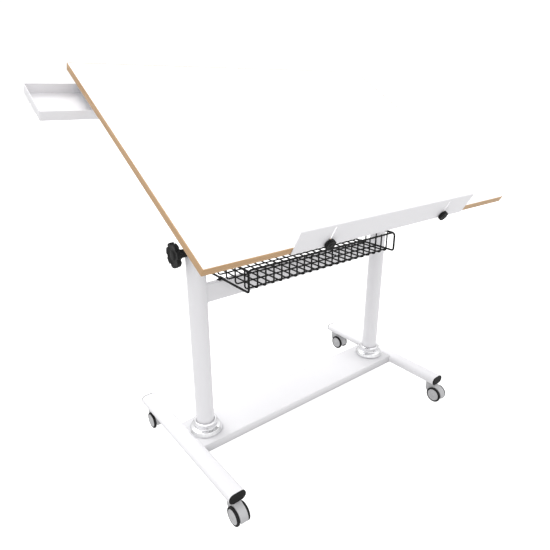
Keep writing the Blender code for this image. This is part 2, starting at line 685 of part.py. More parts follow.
def build_arm(kit, tilt, label, side):
    """A flat tube under the board with a lug that hangs between the yoke's cheeks."""
    high = BOARD_BOTTOM - GAP
    low = high - ARM_HEIGHT
    half = ARM_WIDTH / 2.0
    outer = rectangle(-half, half, low, high)
    inner = rectangle(-half + ARM_WALL, half - ARM_WALL, low + ARM_WALL, high - ARM_WALL)
    tube = ring_tube(outer, inner, -ARM_HALF_LENGTH, ARM_HALF_LENGTH, "xzy")
    at = (side * COLUMN_X, 0.0, 0.0)
    arm = place("board_arm_" + label, mesh_from(tube, "board_arm"), kit["white_steel"], at, parent=tilt)
    reach = 0.036
    lug_top = low + 0.001
    lean = acos(LUG_ROUND / (reach ** 2 + lug_top ** 2) ** 0.5)
    rise = pi / 2.0 - acos(lug_top / (reach ** 2 + lug_top ** 2) ** 0.5)
    tangent = (rise - lean) * 180.0 / pi
    lug = [(reach, lug_top), *arc((0.0, 0.0), LUG_ROUND, tangent, -180.0 - tangent, 10), (-reach, lug_top)]
    plate = mesh_from(prism([lug], -LUG_HALF_WIDTH, LUG_HALF_WIDTH, "yzx"), "lug")
    modify(arm, tool_object("arm_lug_" + label, plate, at, parent=tilt), "UNION")
    drill = mesh_from(prism([circle(PIN_RADIUS + GAP, 20)], -0.03, 0.03, "yzx"), "drill")
    modify(arm, tool_object("arm_drill_" + label, drill, at, parent=tilt), "DIFFERENCE")


def build_ledge(kit, tilt):
    """Folded sheet ledge on the front edge, with two upright slots for the knobs that clamp it."""
    face = BOARD_FRONT - 0.001
    front = face - LEDGE_SHEET
    low = BOARD_TOP + LEDGE_BOTTOM
    high = BOARD_TOP + LEDGE_TOP
    section = [
        (front, low), (face, low), (face, high - LEDGE_SHEET), (front + LEDGE_LIP, high - LEDGE_SHEET),
        (front + LEDGE_LIP, high), (front, high),
    ]
    half = LEDGE_LENGTH / 2.0
    sheet = mesh_from(prism([section], -half, half, "yzx"), "paper_ledge")
    ledge = place("paper_ledge", sheet, kit["white_steel"], parent=tilt)
    slot_half = (SLOT_TOP - SLOT_BOTTOM) / 2.0
    slot_middle = BOARD_TOP + (SLOT_TOP + SLOT_BOTTOM) / 2.0
    outline = [(b, a) for a, b in stadium(slot_half, SLOT_WIDTH / 2.0, steps=6)]
    for label, side in SIDES:
        cutter = mesh_from(prism([outline], -0.01, 0.01, "xzy"), "slot")
        at = (side * SLOT_X, face, slot_middle)
        modify(ledge, tool_object("ledge_slot_" + label, cutter, at, parent=tilt), "DIFFERENCE")
        stud_at = (side * SLOT_X, front, BOARD_TOP + STUD_Z)
        knob = star_knob(LEDGE_KNOB_RADIUS, 8, LEDGE_KNOB_HEAD, 0.009, 2.0 * GAP, STUD_RADIUS, -0.026)
        place("ledge_knob_" + label, mesh_from(knob, "ledge_knob"), kit["black_plastic"], stud_at,
              (0.0, 0.0, -pi / 2.0), tilt)


def build_tray(kit, tilt):
    """An open sheet tray under the board on two folded runners, drawn out to the left."""
    front = BOARD_FRONT + TRAY_FRONT
    back = front + TRAY_WIDTH
    high = BOARD_TOP + TRAY_TOP
    low = high - TRAY_HEIGHT
    bm = box((TRAY_LEFT, front, low), (TRAY_LEFT + TRAY_LENGTH, back, high))
    lid = max(bm.faces, key=lambda face: face.calc_center_median().z)
    bmesh.ops.inset_region(bm, faces=[lid], thickness=TRAY_SHEET)
    made = bmesh.ops.extrude_face_region(bm, geom=[lid])
    bmesh.ops.delete(bm, geom=[lid], context="FACES_ONLY")
    sunk = [item for item in made["geom"] if isinstance(item, bmesh.types.BMVert)]
    bmesh.ops.translate(bm, verts=sunk, vec=(0.0, 0.0, TRAY_SHEET - TRAY_HEIGHT))
    tray = place("side_tray", mesh_from(bm, "side_tray"), kit["white_steel"], parent=tilt)
    notch = mesh_from(prism([circle(NOTCH_RADIUS, 20)], -0.01, 0.008, "yzx"), "notch")
    at = (TRAY_LEFT, (front + back) / 2.0 + 0.010, low)
    modify(tray, tool_object("tray_notch", notch, at, parent=tilt), "DIFFERENCE")
    clear = 0.0006
    top = BOARD_BOTTOM - GAP
    shelf = low - clear
    sheet = RAIL_SHEET
    for name, edge, side in (("front", front, -1.0), ("rear", back, 1.0)):
        web = edge + side * clear
        section = [
            (web, shelf), (web, top - sheet), (web, top), (web + side * RAIL_FLANGE, top),
            (web + side * RAIL_FLANGE, top - sheet), (web + side * sheet, top - sheet),
            (web + side * sheet, shelf - sheet), (web - side * RAIL_LIP, shelf - sheet),
            (web - side * RAIL_LIP, shelf),
        ]
        rail = mesh_from(prism([section], RAIL_LEFT, RAIL_RIGHT, "yzx"), "tray_runner")
        place("tray_runner_" + name, rail, kit["zinc"], parent=tilt)


def main():
    clear_scene()
    kit = make_finishes()
    build_feet(kit)
    build_shelf(kit)
    build_columns(kit)
    cross_tube("crossbeam", kit["white_steel"], BEAM_TOP, BEAM_HEIGHT, COLUMN_RADIUS)
    build_height_knobs(kit)
    build_basket(kit)
    build_casters(kit)
    build_lift(kit)
    tilt = joint_frame("board_tilt", (0.0, 0.0, PIVOT_Z), (TILT, 0.0, 0.0))
    build_board(kit, tilt)
    build_ledge(kit, tilt)
    build_tray(kit, tilt)


main()
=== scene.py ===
# %% [markdown]
# # A drafting table on casters
# The table stands on two flat-oval feet joined by a pressed shelf. Two telescopic columns carry a
# tilting board with a paper ledge on its front edge and a steel tray that slides out on the left.
# A wire basket rests on the crossbeam. This lesson dresses the engineering model for the studio:
# each piece is a numpy surface in the model's own place, and each finish is built from nodes.

# %% Load the frame
import json

import bpy
import numpy as np
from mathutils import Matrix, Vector


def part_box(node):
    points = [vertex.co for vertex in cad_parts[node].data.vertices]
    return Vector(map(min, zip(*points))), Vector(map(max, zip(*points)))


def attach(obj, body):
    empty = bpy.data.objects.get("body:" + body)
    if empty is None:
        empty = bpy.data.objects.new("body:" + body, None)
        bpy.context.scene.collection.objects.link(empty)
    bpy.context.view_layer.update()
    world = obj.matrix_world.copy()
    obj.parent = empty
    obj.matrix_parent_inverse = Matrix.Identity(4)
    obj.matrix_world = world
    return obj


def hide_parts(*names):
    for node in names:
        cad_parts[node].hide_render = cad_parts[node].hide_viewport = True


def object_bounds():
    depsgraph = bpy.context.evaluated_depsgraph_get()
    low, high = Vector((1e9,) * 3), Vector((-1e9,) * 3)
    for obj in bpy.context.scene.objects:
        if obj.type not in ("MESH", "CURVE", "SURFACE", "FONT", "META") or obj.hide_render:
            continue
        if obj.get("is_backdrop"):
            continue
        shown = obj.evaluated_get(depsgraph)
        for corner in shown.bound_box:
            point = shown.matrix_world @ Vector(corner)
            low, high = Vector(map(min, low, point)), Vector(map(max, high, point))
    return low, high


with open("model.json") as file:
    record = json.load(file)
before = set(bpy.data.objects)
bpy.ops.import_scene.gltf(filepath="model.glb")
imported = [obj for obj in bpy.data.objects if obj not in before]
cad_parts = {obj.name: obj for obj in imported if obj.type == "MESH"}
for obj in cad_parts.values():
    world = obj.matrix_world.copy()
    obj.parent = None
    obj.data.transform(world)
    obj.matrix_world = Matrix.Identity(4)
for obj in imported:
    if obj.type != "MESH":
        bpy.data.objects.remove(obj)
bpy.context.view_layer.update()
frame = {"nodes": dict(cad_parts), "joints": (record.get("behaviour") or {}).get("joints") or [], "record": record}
joints = {joint["name"]: joint for joint in frame["joints"]}

# %% [markdown]
# ## Outlines and profiles
# Most pieces of steel furniture start as a flat drawing: a circle, a flat oval, a rectangle with
# round corners, or a line with bends in it. Blender could hold these as curves, but a curve's bevel
# can't follow a cope or a taper. A numpy array of points can be moved, scaled and trimmed by
# formula, so every drawing here is an array.

# %% Drawings made of points
def arc(centre, radius, start, end, steps=8):
    """Points on a circle: the centre plus the radius times (cos, sin) of evenly spaced angles."""
    angle = np.radians(np.linspace(start, end, steps + 1))
    return np.column_stack((centre[0] + radius * np.cos(angle), centre[1] + radius * np.sin(angle)))


def circle(radius, count):
    """Points round a circle, the last one step short of the first."""
    return arc((0.0, 0.0), radius, 0.0, 360.0, count)[:-1]


def bent(points, radius, steps=6, closed=False):
    """A line through corner points, each corner an arc tangent to both its sides.

    With unit directions d before and e after a corner and turn angle a between them, the arc starts
    radius * tan(a / 2) before the corner, and its centre lies on the normal, on the side of e.
    """
    points = np.asarray(points, float)
    if closed:
        before = points - np.roll(points, 1, axis=0)
        after = np.roll(points, -1, axis=0) - points
        corner = points
    else:
        before = points[1:-1] - points[:-2]
        after = points[2:] - points[1:-1]
        corner = points[1:-1]
    before = before / np.linalg.norm(before, axis=1, keepdims=True)
    after = after / np.linalg.norm(after, axis=1, keepdims=True)
    along = np.sum(before * after, axis=1, keepdims=True)
    turn = np.arccos(np.clip(along, -1.0, 1.0))
    inward = after - before * along
    inward = inward / np.maximum(np.linalg.norm(inward, axis=1, keepdims=True), 1e-9)
    radius = np.broadcast_to(np.asarray(radius, float), len(corner))[:, None]
    start = corner - before * radius * np.tan(turn / 2.0)
    share = np.linspace(0.0, 1.0, steps + 1)[None, :, None]
    swing = turn[:, None, :] * share
    reach = radius[:, None, :]
    ahead, aside = before[:, None, :] * np.sin(swing), inward[:, None, :] * (1.0 - np.cos(swing))
    curve = start[:, None, :] + reach * (ahead + aside)
    curve = curve.reshape(-1, points.shape[1])
    return curve if closed else np.vstack((points[:1], curve, points[-1:]))


def oval_rings(half_a, half_b, radius, insets, steps=8):
    """Rounded rectangles, one for each inset: sides and corner radius all move in by the inset."""
    insets = np.atleast_1d(insets)[:, None]
    start = np.repeat((0.0, 90.0, 180.0, 270.0), steps + 1)
    angle = np.radians(start + np.tile(np.linspace(0.0, 90.0, steps + 1), 4))
    sign_a = np.repeat((1.0, -1.0, -1.0, 1.0), steps + 1)
    sign_b = np.repeat((1.0, 1.0, -1.0, -1.0), steps + 1)
    corner = np.maximum(radius - insets, 1e-5)
    a = sign_a * (half_a - insets - corner) + corner * np.cos(angle)
    b = sign_b * (half_b - insets - corner) + corner * np.sin(angle)
    return np.stack((a, b), axis=-1)


print("a bend of 4 mm in a right angle:", np.round(bent([(0, 0), (1, 0), (1, 1)], 0.004, 2), 4).tolist())

# %% [markdown]
# ## Surfaces on a grid
# A solid piece is a grid of points: one direction goes round the section and closes on itself, the
# other goes along the piece. The ends can be closed by a flat face, by a fan to one middle point
# (a pole), or by joining the last ring to the first, which gives a tube with a wall. The volume
# inside tells whether the faces point outwards; if it comes out negative, they are turned round.

# %% Skins, wires and turned pieces
def axes_stack(a, b, c, axes):
    """Puts the coordinates a, b, c on the axes named by three letters, such as "yzx"."""
    spot = dict(zip(axes, np.broadcast_arrays(a, b, c)))
    return np.stack((spot["x"], spot["y"], spot["z"]), axis=-1)


def outward(points, faces):
    """Turns the faces round if the volume they close, a sum of corner . (edge x edge) / 6, is negative."""
    fans = [(f[0], f[k], f[k + 1]) for f in faces for k in range(1, len(f) - 1)]
    a, b, c = (points[list(side)] for side in zip(*fans))
    volume = np.sum(a * np.cross(b, c)) / 6.0
    return (points, [f[::-1] for f in faces]) if volume < 0.0 else (points, faces)


def quads(rows, columns, join_rows, join_columns):
    """Corner numbers of the cells of a grid stored row by row; either direction can close on itself."""
    i = np.arange(rows if join_rows else rows - 1)[:, None]
    j = np.arange(columns if join_columns else columns - 1)[None, :]
    i2 = (i + 1) % rows
    j2 = (j + 1) % columns
    cells = np.broadcast_arrays(i * columns + j, i * columns + j2, i2 * columns + j2, i2 * columns + j)
    return np.stack(cells, axis=-1).reshape(-1, 4)


def skin(grid, ends="face"):
    """A closed shell over rings of points: ends is face, pole, or ring (the last ring joins the first)."""
    rows, columns, _ = grid.shape
    points = grid.reshape(-1, 3)
    faces = quads(rows, columns, ends == "ring", True).tolist()
    ring = np.arange(columns)
    if ends == "face":
        faces += [ring[::-1].tolist(), (ring + (rows - 1) * columns).tolist()]
    if ends == "pole":
        points = np.vstack((points, grid[0].mean(axis=0), grid[-1].mean(axis=0)))
        after = np.roll(ring, -1)
        first = np.full(columns, rows * columns)
        faces += np.column_stack((after, ring, first)).tolist()
        last = (rows - 1) * columns
        faces += np.column_stack((ring + last, after + last, first + 1)).tolist()
    return outward(points, faces)


def wire(path, radius, normal, sides=8, closed=False, ends="pole"):
    """A round rod: a circle of the radius carried along the path, square to it.

    The circle's first axis is the given normal made square to the path, the second is their cross
    product. The radius may be one number or one number for each point of the path.
    """
    path = np.asarray(path, float)
    if closed:
        along = np.roll(path, -1, axis=0) - np.roll(path, 1, axis=0)
    else:
        along = np.gradient(path, axis=0)
    along = along / np.linalg.norm(along, axis=1, keepdims=True)
    first = np.asarray(normal, float) - along * (along @ np.asarray(normal, float))[:, None]
    first = first / np.linalg.norm(first, axis=1, keepdims=True)
    second = np.cross(along, first)
    ring = circle(1.0, sides)
    reach = np.broadcast_to(np.asarray(radius, float), len(path))[:, None, None]
    offset = first[:, None, :] * ring[None, :, :1] + second[:, None, :] * ring[None, :, 1:]
    return skin(path[:, None, :] + reach * offset, "ring" if closed else ends)


def turned(profile, at=(0.0, 0.0, 0.0), axes="xyz", count=64, ends="ring"):
    """A turned piece: each (radius, height) of the profile goes round the last axis, through at."""
    profile = np.asarray(profile, float)
    ring = circle(1.0, count)
    radius = profile[:, :1]
    grid = axes_stack(radius * ring[:, 0], radius * ring[:, 1], profile[:, 1:], axes)
    return skin(grid + np.asarray(at, float), ends)


print("a coin of 64 sides has", len(turned([(0.01, 0.0), (0.01, 0.002)], ends="pole")[1]), "faces")

# %% [markdown]
# ## From arrays to a piece
# One helper puts the shells into a mesh, marks edges sharper than an angle, hangs the piece on the empty of the body
# it rides on and hides the engineering nodes it stands for. It prints how far the piece's box is from the box of those
# nodes, so a piece in the wrong place shows at once.

# %% Make a piece
def node_box(nodes):
    """Lowest and highest corner of one or more engineering nodes."""
    corners = np.array([[list(corner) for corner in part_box(node)] for node in nodes])
    return corners[:, 0].min(axis=0), corners[:, 1].max(axis=0)


def middle(node):
    """Middle of a node's box."""
    low, high = node_box([node])
    return (low + high) / 2.0


def add_piece(name, shells, finish, body, stands_for=(), angle=35.0):
    """A named object from shells of (points, faces), at the origin, riding on a body.

    A finish has the name of its slot in the record.
    """
    starts = np.cumsum([0] + [len(points) for points, _ in shells])
    points = np.vstack([points for points, _ in shells])
    faces = [[corner + start for corner in face] for (_, fs), start in zip(shells, starts) for face in fs]
    mesh = bpy.data.meshes.new(name)
    mesh.from_pydata(points, [], faces)
    mesh.validate()
    mesh.shade_smooth()
    mesh.set_sharp_from_angle(angle=np.radians(angle))
    mesh.materials.append(finishes[finish])
    made = bpy.data.objects.new(name, mesh)
    bpy.context.scene.collection.objects.link(made)
    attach(made, body)
    note = "stands alone"
    if stands_for:
        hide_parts(*stands_for)
        low, high = node_box(stands_for)
        off = np.abs(np.concatenate((points.min(axis=0) - low, points.max(axis=0) - high))).max()
        note = f"{off * 1000.0:.2f} mm from its node's box"
    print(f"{name}: {len(faces)} faces, {note}")
    return made


# %% [markdown]
# ## Shader maths
# A finish is a network of nodes. Written node by node it is long and hard to read, so a small class
# wraps a socket and lets ordinary arithmetic add the Math nodes. Colours never go through Math
# nodes, which would turn them grey: they are mixed by a Mix node.

# %% A signal and a recipe
class Signal:
    """An output of a shader node; arithmetic on it adds Math nodes to its recipe."""

    def __init__(self, recipe, socket):
        self.recipe = recipe
        self.socket = socket

    def math(self, operation, left, right):
        return self.recipe.node("ShaderNodeMath", {"operation": operation}, {0: left, 1: right})

    def __add__(self, other):
        return self.math("ADD", self, other)

    __radd__ = __add__

    def __sub__(self, other):
        return self.math("SUBTRACT", self, other)

    def __rsub__(self, other):
        return self.math("SUBTRACT", other, self)

    def __mul__(self, other):
        return self.math("MULTIPLY", self, other)

    __rmul__ = __mul__


class Recipe:
    """One finish: a Principled shader with fixed settings, and nodes that vary it."""

    def __init__(self, name, **fixed):
        self.material = bpy.data.materials.new(name)
        self.material.use_nodes = True
        self.tree = self.material.node_tree
        self.shader = self.tree.nodes["Principled BSDF"]
        for socket, value in fixed.items():
            self.shader.inputs[socket.replace("_", " ")].default_value = value

    def node(self, kind, settings=None, sockets=None, output=0):
        """Any node by its type: settings first, then a value or a link for each socket named."""
        made = self.tree.nodes.new(kind)
        for setting, value in (settings or {}).items():
            setattr(made, setting, value)
        for socket, value in (sockets or {}).items():
            if isinstance(value, Signal):
                self.tree.links.new(value.socket, made.inputs[socket])
            else:
                made.inputs[socket].default_value = value
        return Signal(self, made.outputs[output])

    def place(self):
        """Object coordinates in metres: the piece carries its pattern with it when it moves."""
        return self.node("ShaderNodeTexCoord", output="Object")

    def noise(self, where, scale, detail=3.0, roughness=0.5):
        """Cloudy pattern from 0 to 1; scale counts its clouds in a metre."""
        return self.node("ShaderNodeTexNoise", {}, {"Vector": where, "Scale": scale, "Detail": detail,
                                                    "Roughness": roughness})

    def between(self, signal, low, high):
        """The signal clipped and stretched so that low becomes 0 and high becomes 1."""
        return self.node("ShaderNodeMapRange", {"interpolation_type": "SMOOTHSTEP"},
                         {"Value": signal, "From Min": low, "From Max": high})

    def stretch(self, where, amounts):
        """Coordinates multiplied axis by axis, for a pattern longer one way than another."""
        return self.node("ShaderNodeVectorMath", {"operation": "MULTIPLY"}, {0: where, 1: amounts})

    def blend(self, share, first, second):
        """A colour between two others, by the share of the second."""
        ready = [c if isinstance(c, Signal) else (*c, 1.0) for c in (first, second)]
        return self.node("ShaderNodeMix", {"data_type": "RGBA"}, {0: share, 6: ready[0], 7: ready[1]}, output=2)

    def bump(self, height, distance, strength=1.0):
        """A normal tilted by a height pattern; distance is the height of a full step, in metres."""
        return self.node("ShaderNodeBump", {}, {"Height": height, "Distance": distance, "Strength": strength})

    def wears(self, **channels):
        """Links signals to the shader's varying sockets, and hands back the finished material."""
        for socket, signal in channels.items():
            self.tree.links.new(signal.socket, self.shader.inputs[socket.replace("_", " ")])
        return self.material


# %% [markdown]
# ## White powder coat
# Steel tube is sprayed with dry paint powder and baked. The skin is a warm white with a slight
# orange peel about a millimetre across, and its gloss drifts a little from place to place. Two
# cloudy patterns give the drift and one fine pattern bends the normal.

# %% Painted steel
def painted_steel(name, light, shade):
    """Powder coat: two whites in soft clouds, orange peel as bump, drifting gloss."""
    coat = Recipe(name, IOR=1.5)
    where = coat.place()
    clouds = coat.noise(where, 7.0, 4.0)
    peel = coat.noise(where, 620.0, 2.0, 0.4)
    specks = coat.between(coat.noise(where, 1900.0, 1.0), 0.66, 0.78)
    rubbed = coat.between(coat.noise(coat.stretch(where, (14.0, 14.0, 60.0)), 3.0, 5.0, 0.62), 0.55, 0.80)
    colour = coat.blend(clouds, light, shade)
    colour = coat.blend(specks * 0.10, colour, (0.55, 0.55, 0.56))
    rough = 0.36 + clouds * 0.10 - rubbed * 0.07 + specks * 0.05
    return coat.wears(Base_Color=colour, Roughness=rough, Normal=coat.bump(peel, 0.00012, 0.35))


white_steel = painted_steel("white_steel", (0.815, 0.808, 0.828), (0.785, 0.778, 0.800))
print("finish:", white_steel.name)

# %% [markdown]
# ## Laminate and beech edging
# The board is faced with a white melamine skin pressed against a matt plate, which leaves a fine
# pebble. Its edges carry a thin printed band: long beech flecks and pores that run along the band.
# The band has its own UV map in metres, along and across, so the grain turns each corner with it.

# %% Board finishes
def laminate_white():
    """Melamine skin: fine pebble, faint clouds, slightly rubbed gloss."""
    skin_coat = Recipe("white_laminate", IOR=1.5)
    where = skin_coat.place()
    pebble = skin_coat.noise(where, 1100.0, 2.0, 0.45)
    clouds = skin_coat.noise(where, 4.0, 3.0)
    rubbed = skin_coat.between(skin_coat.noise(where, 9.0, 6.0, 0.7), 0.45, 0.75)
    colour = skin_coat.blend(clouds, (0.93, 0.93, 0.93), (0.90, 0.90, 0.905))
    rough = 0.40 + clouds * 0.06 - rubbed * 0.05
    return skin_coat.wears(Base_Color=colour, Roughness=rough, Normal=skin_coat.bump(pebble, 0.00008, 0.4))


def beech_band():
    """Printed beech: broad bands, flecks a few millimetres long and fine pores, all along U."""
    band = Recipe("beech_edge", IOR=1.48)
    along = band.node("ShaderNodeUVMap", {"uv_map": "metres"})
    broad = band.noise(band.stretch(along, (5.0, 150.0, 1.0)), 1.0, 3.0, 0.5)
    fleck = band.noise(band.stretch(along, (55.0, 900.0, 1.0)), 1.0, 4.0, 0.6)
    pore = band.between(band.noise(band.stretch(along, (160.0, 2600.0, 1.0)), 1.0, 2.0), 0.60, 0.72)
    colour = band.blend(band.between(broad, 0.32, 0.68), (0.56, 0.365, 0.195), (0.445, 0.270, 0.130))
    colour = band.blend(band.between(fleck, 0.45, 0.75) * 0.45, colour, (0.38, 0.215, 0.095))
    colour = band.blend(pore * 0.35, colour, (0.30, 0.16, 0.07))
    rough = 0.42 + fleck * 0.14
    height = fleck * 0.6 - pore
    return band.wears(Base_Color=colour, Roughness=rough, Normal=band.bump(height, 0.00006, 0.5))


white_laminate = laminate_white()
beech_edge = beech_band()
print("finishes:", white_laminate.name, beech_edge.name)

# %% [markdown]
# ## Moulded plastics, rubber and plated metal
# Knobs, caps and bushes are black nylon from a spark-eroded mould, which leaves a grain of small
# dimples. The casters are a smoother grey plastic. The basket wire has a thin dipped coat with
# slight runs. Chrome is a mirror with a trace of haze; zinc is duller, with soft crystals.

# %% Plastics and metals
def moulded(name, light, dark, rough, grain, depth):
    """Moulded plastic: a grain of dimples as bump, faint flow clouds, gloss worn in stretched scuffs."""
    mould = Recipe(name, IOR=1.45, Specular_IOR_Level=0.20)
    where = mould.place()
    dimple = mould.noise(where, grain, 2.0, 0.5)
    flow = mould.noise(where, 28.0, 4.0)
    scuff = mould.between(mould.noise(mould.stretch(where, (60.0, 60.0, 240.0)), 2.0, 5.0, 0.7), 0.58, 0.78)
    colour = mould.blend(flow, dark, light)
    gloss = rough + dimple * 0.12 - flow * 0.06 + scuff * 0.08
    return mould.wears(Base_Color=colour, Roughness=gloss, Normal=mould.bump(dimple, depth, 0.5))


def plated(name, tint, rough, haze, crystal, depth):
    """Plated metal: haze drifts the gloss, a crystal pattern shades it and bends the normal a little."""
    plate = Recipe(name, Metallic=1.0)
    where = plate.place()
    cloud = plate.noise(where, 45.0, 5.0, 0.65)
    grain = plate.node("ShaderNodeTexVoronoi", {"feature": "F1"}, {"Vector": where, "Scale": crystal})
    shade = tuple(0.86 * channel for channel in tint)
    colour = plate.blend(grain * 0.8, tint, shade)
    return plate.wears(Base_Color=colour, Roughness=rough + cloud * haze,
                       Normal=plate.bump(plate.noise(where, crystal * 1.5, 2.0), depth, 0.20))


black_plastic = moulded("black_plastic", (0.013, 0.013, 0.013), (0.008, 0.008, 0.008), 0.50, 900.0, 0.00008)
grey_plastic = moulded("grey_plastic", (0.52, 0.52, 0.53), (0.47, 0.47, 0.48), 0.36, 700.0, 0.00005)
rubber = moulded("rubber", (0.016, 0.016, 0.017), (0.010, 0.010, 0.010), 0.55, 1300.0, 0.00012)
black_wire = moulded("black_wire", (0.012, 0.012, 0.012), (0.007, 0.007, 0.007), 0.42, 380.0, 0.00008)
chrome = plated("chrome", (0.84, 0.84, 0.855), 0.04, 0.05, 90.0, 0.000002)
zinc = plated("zinc", (0.62, 0.62, 0.64), 0.30, 0.16, 420.0, 0.00002)
finishes = {"white_steel": white_steel, "white_laminate": white_laminate, "beech_edge": beech_edge,
            "black_plastic": black_plastic, "grey_plastic": grey_plastic, "rubber": rubber,
            "black_wire": black_wire, "chrome": chrome, "zinc": zinc}
print("finishes:", ", ".join(finishes))

# %% [markdown]
# The engineering nodes that stay visible take the same finishes by the name of their record slot.

# %% Dress the engineering nodes
slot_of = {part["node"]: part["material_slot"] for part in frame["record"]["subparts"]}
for node, made in frame["nodes"].items():
    for spot in made.material_slots:
        spot.material = finishes[slot_of[node]]
print("dressed", len(slot_of), "engineering nodes")

# %% [markdown]
# ## The board's own drawing space
# The board, its ledge, its tray and their knobs are drawn flat: x across the board, y up its slope,
# z square to it, with the tilt axis as the origin. One function then turns a finished drawing by
# the tilt and lifts it to the axis, so no piece has to be drawn on the slant.

# %% Tilt a drawing
sides = {"left": -1.0, "right": 1.0}
tilt = np.radians(30.0)
tilt_axis = np.array(joints["board_tilt"]["pos_m"], float)


def tilted(shells):
    """Turns shells about X by the tilt, y to y cos - z sin and z to y sin + z cos, then lifts them."""
    turn = np.array([[1.0, 0.0, 0.0], [0.0, np.cos(tilt), np.sin(tilt)], [0.0, -np.sin(tilt), np.cos(tilt)]])
    return [(points @ turn + tilt_axis, faces) for points, faces in shells]


print("the tilt axis is", round(float(tilt_axis[2]) * 1000.0, 1), "mm above the floor")

# %% [markdown]
# ## Board and edge band
# The board is a 20 mm slab. It could be a cube with a bevel, but the laminate and the band are
# separate skins, so each is its own surface: the slab is a stack of four rounded rectangles whose
# insets ease its edges, and the band is a closed profile carried round the same rectangle.

# %% Board slab
board_half = 0.600
board_low, board_high = 0.050, 0.070
board_front, board_back = -0.4035, 0.4385
board_middle = (board_front + board_back) / 2.0
board_deep = (board_back - board_front) / 2.0
band_thick = 0.002


def slab(half_a, half_b, radius, insets, heights):
    """A block from rounded rectangles: ring k has inset k and stands at height k."""
    rings = oval_rings(half_a, half_b, radius, insets, 4)
    return skin(axes_stack(rings[..., 0], rings[..., 1], np.asarray(heights)[:, None], "xyz"))


core_insets = (0.0008, 0.0002, 0.0, 0.0, 0.0001, 0.0004)
core_heights = (board_low, board_low + 0.0004, board_low + 0.001, board_high - 0.0008, board_high - 0.0002, board_high)
core_points, core_faces = slab(board_half - band_thick - 0.0001, board_deep - band_thick - 0.0001, 0.0012,
                               core_insets, core_heights)
core_shell = (core_points + (0.0, board_middle, 0.0), core_faces)
add_piece("board_top", tilted([core_shell]), "white_laminate", "board", ["board_core"], angle=60.0)

# %% Edge band
band_profile = bent([(0.0, board_low), (0.0, board_high), (band_thick, board_high), (band_thick, board_low)],
                    (0.0007, 0.0007, 0.0002, 0.0002), 4, closed=True)
band_rings = oval_rings(board_half, board_deep, 0.0024, band_profile[:, 0], 6)
band_grid = axes_stack(band_rings[..., 0], band_rings[..., 1] + board_middle, band_profile[:, 1:], "xyz")
band_flat = skin(band_grid, "ring")
band = add_piece("edge_banding", tilted([band_flat]), "beech_edge", "board", ["edge_band"])


def grain_map(made, flat_points):
    """UV in metres: along is x on the long sides and y on the short ones, across is height plus inset."""
    mesh = made.data
    corner = np.empty(len(mesh.loops), np.int32)
    mesh.loops.foreach_get("vertex_index", corner)
    side_of = np.empty(len(mesh.polygons), np.int32)
    mesh.polygons.foreach_get("loop_total", side_of)
    at = flat_points[corner]
    face = np.repeat(np.arange(len(side_of)), side_of)
    centre_x = (np.bincount(face, at[:, 0]) / side_of)[face]
    short = np.abs(centre_x) > board_half - 1.2 * band_thick
    inset = np.where(short, board_half - np.abs(at[:, 0]), board_deep - np.abs(at[:, 1] - board_middle))
    along = np.where(short, at[:, 1] + 2.0, at[:, 0])
    chart = mesh.uv_layers.new(name="metres")
    chart.uv.foreach_set("vector", np.column_stack((along, at[:, 2] + inset)).astype(np.float32).ravel())


grain_map(band, band_flat[0])
print("the band is", round(2.0 * (board_half + board_deep) * 2.0, 2), "m round")

# %% [markdown]
# ## Feet and their plugs
# Each foot is a flat-oval tube. A tube is two rings of the same outline, one inside the other, so
# one grid that runs out along the outside and back along the inside gives it a wall. The ends are
# slightly broken edges. A black plug fills each end: its cap is a low dome with a rounded rim.

# %% Feet
foot_low, foot_high = node_box(["foot_left"])
foot_half_wide, foot_half_high = (foot_high[0] - foot_low[0]) / 2.0, (foot_high[2] - foot_low[2]) / 2.0
foot_level = (foot_high[2] + foot_low[2]) / 2.0
foot_end = foot_high[1]


def foot_rings(insets, along, side, radius=0.0164):
    """Flat ovals across X and Z, one for each inset, standing at the given places along Y."""
    rings = oval_rings(foot_half_wide, foot_half_high, radius, insets, 12)
    grid = axes_stack(rings[..., 0], rings[..., 1], np.asarray(along)[:, None], "xzy")
    return grid + (middle("foot_" + side)[0], 0.0, foot_level)


for side in sides:
    reach = np.array([-1.0, -0.9975, 0.9975, 1.0, 0.995, -0.995]) * foot_end
    tube = skin(foot_rings((0.0005, 0.0, 0.0, 0.0005, 0.0020, 0.0020), reach, side), "ring")
    add_piece("oval_foot_" + side, [tube], "white_steel", "frame", ["foot_" + side])

# %% Plugs
for side in sides:
    for end, toward in (("front", -1.0), ("rear", 1.0)):
        node = f"foot_cap_{end}_{side}"
        cap_low, cap_high = node_box([node])
        face = toward * max(abs(cap_low[1]), abs(cap_high[1]))
        depths = np.array((-0.0130, -0.0031, -0.0030, -0.0009, -0.0003, -0.00005, 0.0))
        insets = (0.0026, 0.0026, 0.0, 0.0, 0.0004, 0.0012, 0.0040)
        plug = skin(foot_rings(insets, face + toward * depths, side), "pole")
        add_piece("foot_plug_" + end + "_" + side, [plug], "black_plastic", "frame", [node], angle=50.0)

# %% [markdown]
# ## Base shelf
# The shelf is one sheet with its two long edges folded down, laid between the feet and welded to
# them. The fold is a polyline with rounded corners, carried along X. Where it meets the feet, each
# point of the profile stops on the foot's round flank, so the cope needs no cutting tool. A
# Solidify modifier gives the sheet its two millimetres, and a wavy bead covers each weld.

# %% Shelf
shelf_low, shelf_high = node_box(["base_shelf"])
sheet = 0.002
fold = bent([(shelf_low[1] + sheet / 2.0, shelf_low[2]), (shelf_low[1] + sheet / 2.0, shelf_high[2] - sheet / 2.0),
             (shelf_high[1] - sheet / 2.0, shelf_high[2] - sheet / 2.0), (shelf_high[1] - sheet / 2.0, shelf_low[2])],
            0.0032, 6)
foot_flat = foot_half_wide - foot_half_high
foot_x = abs(middle("foot_left")[0])


